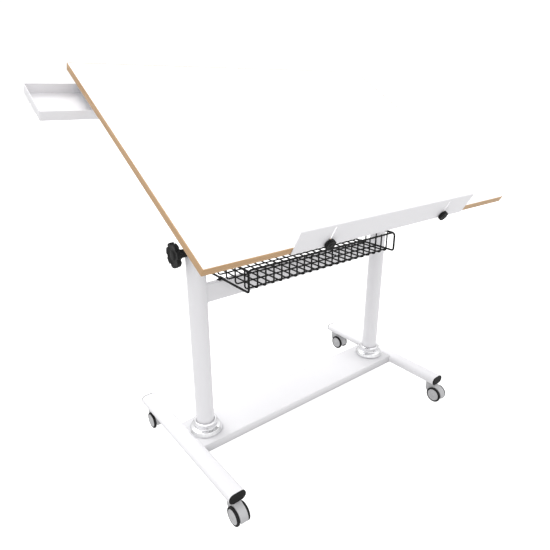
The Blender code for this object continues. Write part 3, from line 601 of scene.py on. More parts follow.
def flank(height):
    """Where a foot's inner flank is at a height: half the flat, plus the root of r squared - dz squared."""
    drop = np.minimum(np.abs(np.asarray(height) - foot_level), foot_half_high)
    return foot_x - foot_flat - np.sqrt(foot_half_high ** 2 - drop ** 2)


def thicken(made, thickness):
    """Gives an open sheet its thickness, half to each side."""
    wall = made.modifiers.new("sheet thickness", "SOLIDIFY")
    wall.thickness = thickness
    wall.offset = 0.0


stop = np.minimum(flank(fold[:, 1]) - 0.0004, shelf_high[0])
share = np.array((-1.0, -0.5, 0.0, 0.5, 1.0))
shelf_grid = axes_stack(share[None, :] * stop[:, None], fold[:, :1], fold[:, 1:], "xyz")
shelf_faces = quads(len(fold), len(share), False, False).tolist()
shelf = add_piece("pressed_shelf", [(shelf_grid.reshape(-1, 3), shelf_faces)], "white_steel", "frame",
                  ["base_shelf"])
thicken(shelf, sheet)

# %% [markdown]
# A weld bead is a rod laid along the seam. Its radius swells and shrinks with the welder's
# rhythm, about every three millimetres, and the paint softens it.

# %% Weld beads
def bead(path, radius, normal, closed=False):
    """A rod whose radius is the given one, times 1 plus an eighth of a wave of the distance along it."""
    path = np.asarray(path, float)
    steps = np.linalg.norm(np.diff(path, axis=0), axis=1)
    distance = np.concatenate(([0.0], np.cumsum(steps)))
    swell = radius * (1.0 + 0.12 * np.sin(2.0 * np.pi * distance / 0.0031))
    return wire(path, swell, normal, 8, closed)


def even_path(points, spacing, closed=False):
    """The same line with points at even distances, found by linear interpolation along its length."""
    points = np.asarray(points, float)
    if closed:
        points = np.vstack((points, points[:1]))
    distance = np.concatenate(([0.0], np.cumsum(np.linalg.norm(np.diff(points, axis=0), axis=1))))
    count = max(int(round(distance[-1] / spacing)), 3)
    marks = np.linspace(0.0, distance[-1], count + 1)
    line = np.column_stack([np.interp(marks, distance, points[:, k]) for k in range(points.shape[1])])
    return line[:-1] if closed else line


shelf_welds = []
for toward in sides.values():
    edge = np.column_stack((flank(fold[:, 1]) - 0.0006, fold))
    edge[:, 0] = np.minimum(edge[:, 0], shelf_high[0] + 0.0035) * toward
    edge[:, 1] *= 1.006
    inner = edge.copy()
    inner[:, 2] -= 0.0004
    shelf_welds.append(bead(even_path(inner, 0.0010), 0.0024, (0.0, 0.3, 1.0)))
add_piece("shelf_welds", shelf_welds, "white_steel", "frame")

# %% [markdown]
# ## Columns, rosettes and bushes
# Turned pieces are a profile of radius and height carried round an axis. A screw modifier could do
# it, but the numpy form keeps the profile next to the shape and closes the tube's wall by itself.
# The chrome rosette is the richest: a flared skirt, a waist and a round collar.

# %% Columns
column_x = abs(middle("outer_column_left")[0])
outer_low, outer_high = node_box(["outer_column_left"])
column_round = (outer_high[1] - outer_low[1]) / 2.0
inner_low, inner_high = node_box(["inner_column_left"])
inner_round = (inner_high[1] - inner_low[1]) / 2.0


def tube_profile(radius, wall, low, high, edge=0.0006):
    """A tube's wall in section: up the outside, over a broken edge, down the inside."""
    return [(radius, low), (radius, high - edge), (radius - edge, high), (radius - wall + edge, high),
            (radius - wall, high - edge), (radius - wall, low)]


for side, toward in sides.items():
    at = (toward * column_x, 0.0, 0.0)
    outside = turned(tube_profile(column_round, 0.003, outer_low[2], outer_high[2]), at, count=128)
    add_piece("outer_tube_" + side, [outside], "white_steel", "frame", ["outer_column_" + side])
    inside = turned(tube_profile(inner_round, 0.0025, inner_low[2], inner_high[2]), at, count=96)
    add_piece("inner_tube_" + side, [inside], "white_steel", "lift", ["inner_column_" + side])

# %% Rosettes
rosette_base = node_box(["rosette_left"])[0][2]
skirt = bent([(0.0303, 0.0), (0.0562, 0.0), (0.0570, 0.0050), (0.0505, 0.0150), (0.0384, 0.0190), (0.0374, 0.0275),
              (0.0412, 0.0300), (0.0416, 0.0362), (0.0368, 0.0410), (0.0312, 0.0404), (0.0303, 0.0340)],
             (0.0015, 0.0050, 0.0060, 0.0045, 0.0018, 0.0022, 0.0030, 0.0020, 0.0020), 8)
for side, toward in sides.items():
    ring = turned(skirt, (toward * column_x, 0.0, rosette_base), count=128)
    add_piece("column_rosette_" + side, [ring], "chrome", "frame", ["rosette_" + side], angle=60.0)

# %% Guide bushes
bush_high = node_box(["guide_bush_left"])[1][2]
bush_lip = bent([(0.0253, -0.030), (0.0267, -0.030), (0.0267, -0.0097), (0.0325, -0.0097), (0.0325, 0.0),
                 (0.0253, 0.0)], (0.0003, 0.0003, 0.0010, 0.0024), 6)
for side, toward in sides.items():
    ring = turned(bush_lip, (toward * column_x, 0.0, bush_high), count=96)
    add_piece("sliding_bush_" + side, [ring], "black_plastic", "frame", ["guide_bush_" + side])

# %% [markdown]
# ## Crossbeam and stretcher
# Both are flat rectangular tubes with rounded corners, welded between round columns. The section is
# drawn once, and every point of it runs along X until it touches the column, whose surface is at
# the column's place less the root of radius squared minus y squared.

# %% Cross tubes
def cope(y, radius):
    """Where a tube along X stops on a round column: its place less the root of radius^2 - y^2."""
    return column_x - np.sqrt(radius ** 2 - np.asarray(y) ** 2)


def cross_tube(node, radius):
    """Outside and inside of the tube as four rings: left end, right end, and back inside the wall."""
    low, high = node_box([node])
    half_deep, half_high = (high[1] - low[1]) / 2.0, (high[2] - low[2]) / 2.0
    rings = oval_rings(half_deep, half_high, 0.0045, (0.0, 0.0, 0.0018, 0.0018), 6)
    run = np.array((-1.0, 1.0, 1.0, -1.0))[:, None] * (cope(rings[..., 0], radius) - 0.0003)
    level = (high[2] + low[2]) / 2.0
    shell = skin(axes_stack(run, rings[..., 0], rings[..., 1] + level, "xyz"), "ring")
    seam = even_path(rings[0], 0.0010, closed=True)
    welds = []
    for toward in sides.values():
        path = np.column_stack((toward * (cope(seam[:, 0], radius) - 0.0004), seam[:, 0], seam[:, 1] + level))
        welds.append(bead(path, 0.0019, (1.0, 0.0, 0.0), closed=True))
    return shell, welds


beam_shell, beam_welds = cross_tube("crossbeam", column_round)
add_piece("cross_tube", [beam_shell], "white_steel", "frame", ["crossbeam"])
add_piece("cross_tube_welds", beam_welds, "white_steel", "frame")
tie_shell, tie_welds = cross_tube("upper_stretcher", inner_round)
add_piece("upper_tie", [tie_shell], "white_steel", "lift", ["upper_stretcher"])
add_piece("upper_tie_welds", tie_welds, "white_steel", "lift")

# %% [markdown]
# ## Star knobs
# A clamp knob is a moulded star: a thick disc whose rim rises in blocky lobes with hollows between,
# a stepped hub behind it and a steel stud. The rim is a circle whose radius falls by a share of
# itself in the hollows. The share follows a cosine pushed through tanh, which squares the wave, so
# the lobes get flat tops and steep flanks. The front face is dished round a raised middle.

# %% Star knob
def star(radius, lobes, depth, count, lean):
    """Circle points whose radius falls by a share in the hollows.

    The share is the depth times half of 1 - tanh(4.5 (cos(lobes * (angle - lean)) + 0.6)), so the
    lobes are wide and flat and the hollows between them are narrow.
    """
    angle = 2.0 * np.pi * np.arange(count) / count
    wave = 0.5 - 0.5 * np.tanh(4.5 * (np.cos(lobes * (angle - np.radians(lean))) + 0.6))
    reach = np.asarray(radius)[..., None] * (1.0 - np.asarray(depth)[..., None] * wave)
    return np.stack((reach * np.cos(angle), reach * np.sin(angle)), axis=-1)


def star_knob(radius, lobes, head, hub, stud, depth=0.16, lean=12.0):
    """Rings along the knob's own axis; each row is (place, radius, share of the lobe depth).

    head is (back, front), hub is (radius, start) and stud is (radius, start). The hub has a wider
    collar, and the face is dished by a twelfth of the radius round a low button.
    """
    back, front = head
    soft, dish = 0.05 * radius, 0.08 * radius
    span = back - hub[1]
    collar = hub[0] * 1.12
    rows = np.array([
        (stud[1], stud[0] * 0.70, 0.0), (stud[1] + 0.001, stud[0], 0.0), (hub[1], stud[0], 0.0),
        (hub[1], hub[0] * 0.95, 0.0), (hub[1] + 0.03 * span, hub[0], 0.0), (hub[1] + 0.50 * span, hub[0], 0.0),
        (hub[1] + 0.54 * span, collar, 0.0), (hub[1] + 0.96 * span, collar, 0.0), (back, collar * 1.08, 0.0),
        (back, radius * 0.62, 0.10), (back, radius - 1.6 * soft, 0.85), (back + 0.3 * soft, radius - 0.4 * soft, 1.0),
        (back + soft, radius, 1.0), (front - soft, radius, 1.0), (front - 0.3 * soft, radius - 0.3 * soft, 1.0),
        (front, radius - soft, 1.0), (front, radius * 0.84, 0.80), (front - 0.5 * dish, radius * 0.70, 0.35),
        (front - dish, radius * 0.58, 0.0), (front - dish, radius * 0.42, 0.0),
        (front - 0.3 * dish, radius * 0.35, 0.0), (front, radius * 0.31, 0.0), (front, radius * 0.10, 0.0),
    ])
    rings = star(rows[:, 1], lobes, rows[:, 2] * depth, lobes * 24, lean)
    return skin(axes_stack(rings[..., 0], rings[..., 1], rows[:, :1], "yzx"), "pole")


def point_outward(shell, toward, at):
    """Mirrors a knob drawn along +X when it points to -X, turns its faces back, and moves it."""
    points, faces = shell
    placed = points * (toward, 1.0, 1.0) + np.asarray(at, float)
    return outward(placed, faces)


knob_z = middle("height_knob_left")[2]
for side, toward in sides.items():
    knob = star_knob(0.038, 7, (0.060, 0.074), (0.0128, column_round + 0.0003), (0.004, inner_round + 0.0006))
    placed = point_outward(knob, toward, (toward * column_x, 0.0, knob_z))
    add_piece("height_star_" + side, [placed], "black_plastic", "height_knob_" + side,
              ["height_knob_" + side])
    knob = star_knob(0.028, 6, (0.025, 0.041), (0.0105, 0.0116), (0.005, -0.022))
    placed = point_outward(knob, toward, (toward * column_x, 0.0, tilt_axis[2]))
    add_piece("tilt_star_" + side, [placed], "black_plastic", "tilt_knob_" + side,
              ["tilt_knob_" + side])

# %% [markdown]
# ## Wire basket
# The basket is bent from rod and spot-welded. Twenty wires run across it, down one wall, along the
# floor and up the other. Six more run its whole length and turn up at the ends. A
# thicker rim runs along each wall outside the uprights, and a closed loop stands at each end. Every
# rod is a polyline with rounded corners and a circle carried along it; a curve bevel would do the
# same but would need a conversion before the export. A small blob stands at each weld.

# %% Basket rods
cross_count, cross_pitch, cross_middle = 20, 0.0306, 0.0069
cross_x = cross_middle + cross_pitch * (np.arange(cross_count) - (cross_count - 1) / 2.0)
long_y = 0.050 * (np.arange(6) - 2.5)
wall_y, rim_y, loop_y = 0.137, 0.1416, 0.152
rod, rim_rod, loop_rod = 0.0026, 0.0033, 0.0036
cross_level, long_level, rim_level = 0.6358, 0.6380, 0.7010
left_x, right_x = middle("basket_loop_left")[0], middle("basket_loop_right")[0]
rods = []
hoop = bent([(-wall_y, 0.7030), (-wall_y, cross_level), (wall_y, cross_level), (wall_y, 0.7030)], 0.008, 6)
for x in cross_x:
    path = np.column_stack((np.full(len(hoop), x), hoop))
    rods.append(wire(path, rod, (1.0, 0.0, 0.0), 10))
runner = bent([(left_x + 0.0046, 0.7040), (left_x + 0.0046, long_level), (right_x - 0.0085, long_level),
               (right_x - 0.0085, 0.6900), (right_x - 0.0049, 0.7040)], (0.011, 0.011, 0.006), 6)
for y in long_y:
    path = np.column_stack((runner[:, 0], np.full(len(runner), y), runner[:, 1]))
    rods.append(wire(path, rod, (0.0, 1.0, 0.0), 10))
rim_line = bent([(left_x + 0.0068, 0.6700), (left_x + 0.0068, rim_level), (right_x + 0.0005, rim_level)], 0.012, 8)
for toward in (-1.0, 1.0):
    path = np.column_stack((rim_line[:, 0], np.full(len(rim_line), toward * rim_y), rim_line[:, 1]))
    rods.append(wire(path, rim_rod, (0.0, 1.0, 0.0), 12))
add_piece("basket_rods", rods, "black_wire", "frame",
          ["basket_floor", "basket_wall_front", "basket_wall_rear", "basket_end_left", "basket_end_right"],
          angle=50.0)

# %% End loops
for side, x in (("left", left_x), ("right", right_x)):
    loop_low, loop_high = node_box(["basket_loop_" + side])
    top, low = loop_high[2] - loop_rod, loop_low[2] + loop_rod
    corners = [(-loop_y, low), (loop_y, low), (loop_y, top), (-loop_y, top)]
    loop = bent(corners, (0.008, 0.008, 0.012, 0.012), 8, closed=True)
    path = np.column_stack((np.full(len(loop), x), loop))
    handle = wire(path, loop_rod, (1.0, 0.0, 0.0), 14, closed=True)
    add_piece("basket_handle_" + side, [handle], "black_wire", "frame", ["basket_loop_" + side],
              angle=50.0)

# %% [markdown]
# Where two rods cross, the welder's electrodes melt them into each other and leave a small swelling
# in the joint. One blob is a squashed ball of a few faces; numpy adds all the weld places to it
# at once, which gives hundreds of blobs in two lines.

# %% Spot welds
def ball(radii, rows=5, columns=8):
    """A squashed ball: latitude and longitude on a grid, times one radius for each axis, poles as fans."""
    up = np.radians(np.linspace(-70.0, 70.0, rows))[:, None]
    ring = circle(1.0, columns)[None]
    grid = np.stack((np.cos(up) * ring[..., 0], np.cos(up) * ring[..., 1], np.sin(up) + 0.0 * ring[..., 0]), axis=-1)
    return skin(grid * np.asarray(radii), "pole")


def scattered(shell, places):
    """The same shell at many places: its points plus each place, its faces shifted by whole copies."""
    points, faces = shell
    places = np.asarray(places, float)
    every = (points[None] + places[:, None]).reshape(-1, 3)
    shift = len(points) * np.arange(len(places))
    return every, [[corner + int(k) for corner in face] for k in shift for face in faces]


def at_crossings(xs, ys, zs):
    """Every combination of the given x, y and z places."""
    return np.stack(np.meshgrid(xs, ys, zs, indexing="ij"), axis=-1).reshape(-1, 3)


floor_welds = scattered(ball((0.0022, 0.0022, 0.0022)), at_crossings(cross_x, long_y, [0.6369]))
rim_welds = [scattered(ball((0.0022, 0.0024, 0.0025)), at_crossings(cross_x, [toward * 0.1394], [rim_level]))
             for toward in (-1.0, 1.0)]
add_piece("basket_spot_welds", [floor_welds, *rim_welds], "black_wire", "frame", angle=80.0)

# %% [markdown]
# The basket's loops lie on the crossbeam under two bent straps. The screws made here are for the
# board's arms and runners further on: a pan head is a low dome with a round recess.

# %% Straps and screws
def screw_head(radius, height, cross=0.55):
    """A pan head about Z: low dome profile whose middle drops into a round recess."""
    return turned([(radius, 0.0), (radius, 0.35 * height), (0.86 * radius, 0.75 * height), (0.60 * radius, height),
                   (cross * radius, height), (0.42 * radius, 0.55 * height)], count=24, ends="pole")


def screws_below(radius, height, places):
    """Pan heads turned to look down, one at each place."""
    points, faces = screw_head(radius, height)
    return scattered(outward(points * (1.0, 1.0, -1.0), faces), places)


for side, x in (("left", left_x), ("right", right_x)):
    low, high = node_box(["basket_saddle_" + side])
    foot, crown = low[2] + 0.00075, high[2] - 0.00075
    strap = bent([(x - 0.012, foot), (x - 0.0046, foot), (x - 0.0046, crown), (x + 0.0046, crown),
                  (x + 0.0046, foot), (x + 0.012, foot)], (0.0010, 0.0020, 0.0020, 0.0010), 5)
    across = np.linspace(low[1], high[1], 5)
    grid = axes_stack(strap[:, :1], across[None, :], strap[:, 1:], "xyz")
    made = add_piece("basket_strap_" + side, [(grid.reshape(-1, 3), quads(len(strap), 5, False, False).tolist())],
                     "black_wire", "frame", ["basket_saddle_" + side])
    thicken(made, 0.0015)

# %% [markdown]
# ## Twin-wheel casters
# A hood of grey plastic carries an axle with a wheel on each side. The hood's outline is an arc
# about the axle, a flat top under the foot and a straight back. It is drawn once and carried
# through the hood's width with insets at both sides, which gives it pillowed edges. Each wheel is
# turned: a rounded black tread and a pale disc with a raised rim and a shallow dish.

# %% Outline insets
def inset(outline, distance):
    """A closed outline moved inwards along the mean normal of its two sides, by the distance."""
    before = outline - np.roll(outline, 1, axis=0)
    after = np.roll(outline, -1, axis=0) - outline
    along = before / np.linalg.norm(before, axis=1, keepdims=True)
    along = along + after / np.linalg.norm(after, axis=1, keepdims=True)
    along = along / np.linalg.norm(along, axis=1, keepdims=True)
    area = np.sum(outline[:, 0] * np.roll(outline[:, 1], -1) - outline[:, 1] * np.roll(outline[:, 0], -1))
    normal = np.column_stack((-along[:, 1], along[:, 0])) * np.sign(area)
    return outline + normal * distance


def pillow(outline, half_wide, rounding, axes, steps=5):
    """An outline carried through a width: at each side its inset grows as a quarter circle does."""
    swing = np.linspace(0.0, np.pi / 2.0, steps + 1)
    depth = rounding * (1.0 - np.cos(swing))
    place = half_wide - rounding + rounding * np.sin(swing)
    places = np.concatenate((-place[::-1], place))
    rings = np.stack([inset(outline, distance) for distance in np.concatenate((depth[::-1], depth))])
    return skin(axes_stack(rings[..., 0], rings[..., 1], places[:, None], axes))


# %% Caster shapes
foot_under = foot_low[2]
axle = np.array((-0.030, 0.030 - foot_under))
hood_back = bent([(-0.0130, -0.0008), (-0.0100, -0.0003), (0.0135, -0.0003), (0.0135, -0.034), (0.004, -0.046)],
                 (0.002, 0.0020, 0.0060), 5)
hood_line = np.vstack((arc(axle, 0.0328, 190.0, 100.0, 26), hood_back, arc(axle, 0.012, -20.0, -100.0, 8)))
hood_shell = pillow(hood_line, 0.0138, 0.0030, "yzx")
stem_shell = turned([(0.0048, -0.008), (0.0050, -0.006), (0.0050, 0.0195), (0.0046, 0.0200)], count=24, ends="pole")
disc_line = [(0.0031, 0.0144), (0.0225, 0.0144), (0.0234, 0.0150), (0.0234, 0.0216), (0.0230, 0.0227),
             (0.0220, 0.0230), (0.0210, 0.0227), (0.0203, 0.0217), (0.0125, 0.0213), (0.0066, 0.0216),
             (0.0054, 0.0224), (0.0040, 0.0227), (0.0015, 0.0228)]
tread_line = [(0.0236, 0.0146), (0.0288, 0.0146), (0.0296, 0.0149), (0.0300, 0.0158), (0.0300, 0.0196),
              (0.0297, 0.0208), (0.0289, 0.0217), (0.0276, 0.0223), (0.0258, 0.0225), (0.0242, 0.0224),
              (0.0236, 0.0220)]


def on_side(line, toward):
    """The same turned line on the left or right of the axle: its heights times -1 or 1."""
    return np.asarray(line) * (1.0, toward)


def shifted(shells, at):
    """Shells moved by a vector."""
    return [(points + np.asarray(at, float), faces) for points, faces in shells]


# %% Casters
for end, along in (("front", -1.0), ("rear", 1.0)):
    for side, toward in sides.items():
        tag = end + "_" + side
        stem = np.array((toward * foot_x, along * 0.276, foot_under))
        hub = stem + (0.0, *axle)
        add_piece("hood_" + tag, shifted([hood_shell, stem_shell], stem), "grey_plastic",
                  "caster_" + tag, ["caster_hood_" + tag])
        discs = [turned(on_side(disc_line, half), axes="yzx", count=72, ends="pole") for half in (-1.0, 1.0)]
        discs.append(turned([(0.0030, -0.0150), (0.0030, 0.0150)], axes="yzx", count=20, ends="pole"))
        add_piece("wheel_discs_" + tag, shifted(discs, hub), "grey_plastic", "wheels_" + tag,
                  ["caster_hubs_" + tag])
        treads = [turned(on_side(tread_line, half), axes="yzx", count=80) for half in (-1.0, 1.0)]
        add_piece("wheel_treads_" + tag, shifted(treads, hub), "rubber", "wheels_" + tag,
                  ["caster_tyre_" + tag + "_a", "caster_tyre_" + tag + "_b"])

# %% [markdown]
# ## Tilt yokes and nuts
# On top of each inner column sits a fork: a round foot and two cheeks that the board's lug hangs
# between. A cheek is a flat plate with a half-round top, the same outline-and-insets shape as the
# hood. The stud of the tilt knob passes through both and screws into a hexagon nut, whose corners
# are chamfered by a cone: the nut's face is the smaller of the hexagon and a circle.

# %% Yokes
yoke_base = node_box(["tilt_yoke_left"])[0][2]
cheek_line = np.vstack((arc((0.0, 0.0), 0.0218, 0.0, 180.0, 24),
                        [(-0.0218, yoke_base - tilt_axis[2] + 0.006), (0.0218, yoke_base - tilt_axis[2] + 0.006)]))
base_line = bent([(0.0002, 0.0), (0.0250, 0.0), (0.0250, 0.0080), (0.0002, 0.0080)], (0.0006, 0.0022), 5)
for side, toward in sides.items():
    pivot = np.array((toward * column_x, 0.0, tilt_axis[2]))
    cheek = pillow(cheek_line, 0.0030, 0.0008, "yzx", 3)
    cheeks = shifted([cheek], pivot + (0.0083, 0.0, 0.0)) + shifted([cheek], pivot - (0.0083, 0.0, 0.0))
    base = turned(base_line, (pivot[0], 0.0, yoke_base), count=72, ends="pole")
    rim = np.column_stack((circle(0.0250, 150), np.zeros(150)))
    seam = bead(rim + (pivot[0], 0.0, yoke_base + 0.0002), 0.0016, (0.0, 0.0, 1.0), closed=True)
    add_piece("tilt_fork_" + side, [*cheeks, base, seam], "white_steel", "lift", ["tilt_yoke_" + side])

# %% Hexagon nuts
def hexagon(across_flats, count=72):
    """Reach of a hexagon at even angles: half its width over the cosine of the angle from a flat."""
    angle = 2.0 * np.pi * np.arange(count) / count
    from_flat = np.mod(angle + np.pi / 6.0, np.pi / 3.0) - np.pi / 6.0
    return angle, across_flats / 2.0 / np.cos(from_flat)


angle, reach = hexagon(0.017)
nut_rows = [(np.full(72, 0.0053), 0.0), (np.minimum(reach, 0.0087), 0.0), (np.minimum(reach, 0.0100), 0.0009),
            (np.minimum(reach, 0.0100), 0.0071), (np.minimum(reach, 0.0087), 0.0080), (np.full(72, 0.0053), 0.0080)]
nut_grid = np.stack([axes_stack(row * np.cos(angle), row * np.sin(angle), np.full(72, height), "yzx")
                     for row, height in nut_rows])
nut_shell = skin(nut_grid, "ring")
for side, toward in sides.items():
    placed = point_outward(nut_shell, -toward, (toward * (column_x - 0.0116), 0.0, tilt_axis[2]))
    add_piece("hex_nut_" + side, [placed], "zinc", "lift", ["pivot_nut_" + side])

# %% [markdown]
# ## Arms under the board
# Each arm is a flat tube that runs front to back under the board, closed by a plug at both ends and
# fixed with screws. A lug with a round bottom is welded under its middle and hangs in the fork.

# %% Arms
arm_x = 0.412
arm_half_wide, arm_high, arm_deep, arm_half_long = 0.020, board_low - 0.0003, 0.0244, 0.170
arm_rings = oval_rings(arm_half_wide, arm_deep / 2.0, 0.0030, (0.0003, 0.0, 0.0, 0.0003, 0.0020, 0.0020), 5)
arm_run = np.array((-arm_half_long, -arm_half_long + 0.0004, arm_half_long - 0.0004, arm_half_long,
                    arm_half_long - 0.0002, -arm_half_long + 0.0002))
arm_tube = skin(axes_stack(arm_rings[..., 0], arm_rings[..., 1] + arm_high - arm_deep / 2.0, arm_run[:, None], "xzy"),
                "ring")
lug_top = arm_high - arm_deep + 0.0006
lug_round, lug_reach = 0.018, 0.036
lean = np.arccos(lug_round / np.hypot(lug_reach, lug_top))
tangent = np.degrees(np.arctan2(lug_top, lug_reach) - lean)
lug_line = np.vstack(([(lug_reach, lug_top)], arc((0.0, 0.0), lug_round, tangent, -180.0 - tangent, 28),
                      [(-lug_reach, lug_top)]))
lug_shell = pillow(lug_line, 0.0049, 0.0006, "yzx", 3)
end_plug = oval_rings(arm_half_wide - 0.0021, arm_deep / 2.0 - 0.0021, 0.0012, (0.0, 0.0, 0.0006, 0.0020), 5)
plug_run = np.array((-0.008, 0.0002, 0.0008, 0.0010))
for side, toward in sides.items():
    at = (toward * arm_x, 0.0, 0.0)
    seam = [(toward * arm_x + half * 0.0052, y, lug_top - 0.0004) for half, ys in ((1.0, (-1, 1)), (-1.0, (1, -1)))
            for y in np.linspace(ys[0] * 0.034, ys[1] * 0.034, 60)]
    lug_weld = bead(even_path(seam, 0.0010, closed=True), 0.0016, (0.0, 0.0, 1.0), closed=True)
    add_piece("arm_" + side, tilted(shifted([arm_tube, lug_shell], at) + [lug_weld]), "white_steel",
              "board", ["board_arm_" + side])
    plugs = []
    for toe in (-1.0, 1.0):
        grid = axes_stack(end_plug[..., 0] + toward * arm_x, end_plug[..., 1] + arm_high - arm_deep / 2.0,
                          toe * (arm_half_long - 0.0012 + plug_run[:, None]), "xzy")
        plugs.append(skin(grid))
    add_piece("arm_plugs_" + side, tilted(plugs), "black_plastic", "board")
    under = arm_high - arm_deep
    places = [(toward * arm_x, y, under + 0.0001) for y in (-0.145, -0.075, 0.075, 0.145)]
    add_piece("arm_screws_" + side, tilted([screws_below(0.0045, 0.0026, places)]), "zinc", "board")

# %% [markdown]
# ## Paper ledge
# The ledge is a folded sheet: a face that stands up along the board's front edge and a short lip
# that turns back over it. The section is drawn as a closed outline, with a large radius outside
# the bend and a small one inside, and carried across. Two upright slots let it slide past the
# knobs that clamp it. A slot through a folded sheet is the one shape a grid can't give simply, so
# two flat-oval cutters take it out with a Boolean, whose result is written back into the mesh.

# %% Cutting helper
def cut(made, shells, angle=35.0):
    """Takes the shells out of a piece with an exact Boolean and writes the result into its mesh."""
    starts = np.cumsum([0] + [len(points) for points, _ in shells])
    mesh = bpy.data.meshes.new("cutter")
    mesh.from_pydata(np.vstack([points for points, _ in shells]), [],
                     [[corner + start for corner in face] for (_, fs), start in zip(shells, starts) for face in fs])
    cutter = bpy.data.objects.new("cutter", mesh)
    bpy.context.scene.collection.objects.link(cutter)
    taking = made.modifiers.new("cut", "BOOLEAN")
    taking.operation = "DIFFERENCE"
    taking.solver = "EXACT"
    taking.object = cutter
    bpy.context.view_layer.update()
    result = bpy.data.meshes.new_from_object(made.evaluated_get(bpy.context.evaluated_depsgraph_get()))
    made.modifiers.clear()
    made.data = result
    result.shade_smooth()
    result.set_sharp_from_angle(angle=np.radians(angle))
    bpy.data.objects.remove(cutter)
    print(made.name, "has", len(result.polygons), "faces after the cut")


def folded(section, radii, low, high, steps=5, rows=2):
    """A folded sheet: a closed outline in Y and Z with rounded corners, carried from low to high in X."""
    outline = bent(section, radii, steps, closed=True)
    along = np.linspace(low, high, rows)[:, None]
    return skin(axes_stack(along, outline[None, :, 0], outline[None, :, 1], "xyz"))


# %% Ledge
ledge_face = board_front - 0.0010
ledge_front = ledge_face - 0.0020
ledge_low, ledge_high = board_high - 0.0208, board_high + 0.0524
ledge_half, lip = 0.358, 0.014
slot_x, slot_half_wide = 0.240, 0.0029
slot_low, slot_high = board_high - 0.0125, board_high + 0.0460
section = [(ledge_front, ledge_low), (ledge_front, ledge_high), (ledge_front + lip, ledge_high),
           (ledge_front + lip, ledge_high - 0.0020), (ledge_face, ledge_high - 0.0020), (ledge_face, ledge_low)]
ledge_shell = folded(section, (0.0004, 0.0034, 0.0004, 0.0004, 0.0014, 0.0004), -ledge_half, ledge_half)
ledge = add_piece("folded_ledge", tilted([ledge_shell]), "white_steel", "ledge", ["paper_ledge"])
slot_rings = oval_rings(slot_half_wide, (slot_high - slot_low) / 2.0, slot_half_wide - 0.00001, (0.0, 0.0), 8)
slot_places = ledge_face + np.array((-0.010, 0.010))[:, None]
slot_tools = []
for toward in sides.values():
    grid = axes_stack(slot_rings[..., 0] + toward * slot_x, slot_rings[..., 1] + (slot_low + slot_high) / 2.0,
                      slot_places, "xzy")
    slot_tools.append(skin(grid))
cut(ledge, tilted(slot_tools))

# %% Ledge knobs
for side, toward in sides.items():
    points, faces = star_knob(0.0155, 18, (0.0020, 0.0122), (0.0085, 0.0006), (0.0025, -0.026), depth=0.06)
    turned_over = points @ np.array([[0.0, -1.0, 0.0], [1.0, 0.0, 0.0], [0.0, 0.0, 1.0]])
    at = (toward * slot_x, ledge_front, board_high - 0.0088)
    add_piece("ledge_star_" + side, tilted(shifted([outward(turned_over, faces)], at)), "black_plastic",
              "ledge_knob_" + side, ["ledge_knob_" + side])

# %% [markdown]
# ## Side tray
# The tray is an open box of folded sheet. One grid makes both its skins: rounded rectangles climb
# the outside, roll over the rim and go down the inside to the floor. The insets and heights of
# the rings give the bend along the bottom edge. A half-round notch is cut in the wall's low edge.

# %% Tray
tray_left, tray_long, tray_wide, tray_deep = -0.7304, 0.400, 0.138, 0.029
tray_front = board_front + 0.6455
tray_high = board_high - 0.031
tray_low = tray_high - tray_deep
tray_insets = np.array((0.0024, 0.0010, 0.0003, 0.0, 0.0, 0.0002, 0.00075, 0.0013, 0.0015, 0.0015, 0.0017,
                        0.0023, 0.0032))
tray_rise = np.array((0.0, 0.0004, 0.0011, 0.0024, 0.0285, 0.0289, 0.0290, 0.0289, 0.0285, 0.0030, 0.0021,
                      0.0017, 0.0015))
tray_rings = oval_rings(tray_long / 2.0, tray_wide / 2.0, 0.0034, tray_insets, 5)
tray_at = (tray_left + tray_long / 2.0, tray_front + tray_wide / 2.0, tray_low)
tray_shell = skin(axes_stack(tray_rings[..., 0], tray_rings[..., 1], tray_rise[:, None], "xyz") + tray_at)
tray = add_piece("drawn_tray", tilted([tray_shell]), "white_steel", "tray", ["side_tray"])
notch_tool = turned([(0.008, -0.010), (0.008, 0.008)], (tray_left, tray_at[1] + 0.010, tray_low), "yzx", 40, "pole")
cut(tray, tilted([notch_tool]))

# %% [markdown]
# ## Runners
# Two zinc-plated strips, folded to a Z, are screwed to the board's underside; the tray slides on
# their lower flanges. Each is the same folded outline as the ledge, with its own bends.

# %% Runners and their screws
rail_left, rail_right, rail_sheet, clear = -0.560, -0.180, 0.0015, 0.0006
rail_top, rail_shelf = board_low - 0.0003, tray_low - clear
for name, edge, out in (("front", tray_front, -1.0), ("rear", tray_front + tray_wide, 1.0)):
    web = edge + out * clear
    section = [(web, rail_shelf), (web, rail_top), (web + out * 0.018, rail_top),
               (web + out * 0.018, rail_top - rail_sheet), (web + out * rail_sheet, rail_top - rail_sheet),
               (web + out * rail_sheet, rail_shelf - rail_sheet), (web - out * 0.010, rail_shelf - rail_sheet),
               (web - out * 0.010, rail_shelf)]
    rail = folded(section, (0.0006, 0.0020, 0.0003, 0.0003, 0.0006, 0.0020, 0.0003, 0.0003), rail_left, rail_right)
    places = [(x, web + out * 0.0105, rail_top - rail_sheet) for x in (-0.530, -0.430, -0.310, -0.210)]
    add_piece("zinc_runner_" + name, tilted([rail, screws_below(0.0040, 0.0022, places)]), "zinc", "board",
              ["tray_runner_" + name])

# %% [markdown]
# ## Studio
# White furniture is hard to light: lit evenly, its edges vanish. Here a dome that is bright above
# and darker at its horizon shades the upright faces, and two broad faint suns whiten the faces that
# look up: one overhead, one from behind that reaches the base under the board. The floor glows more
# to the eye than to the table: it reads as plain white with no shadow on it, and still throws only
# a soft light on the undersides. What the camera sees beyond the floor is the same plain white.

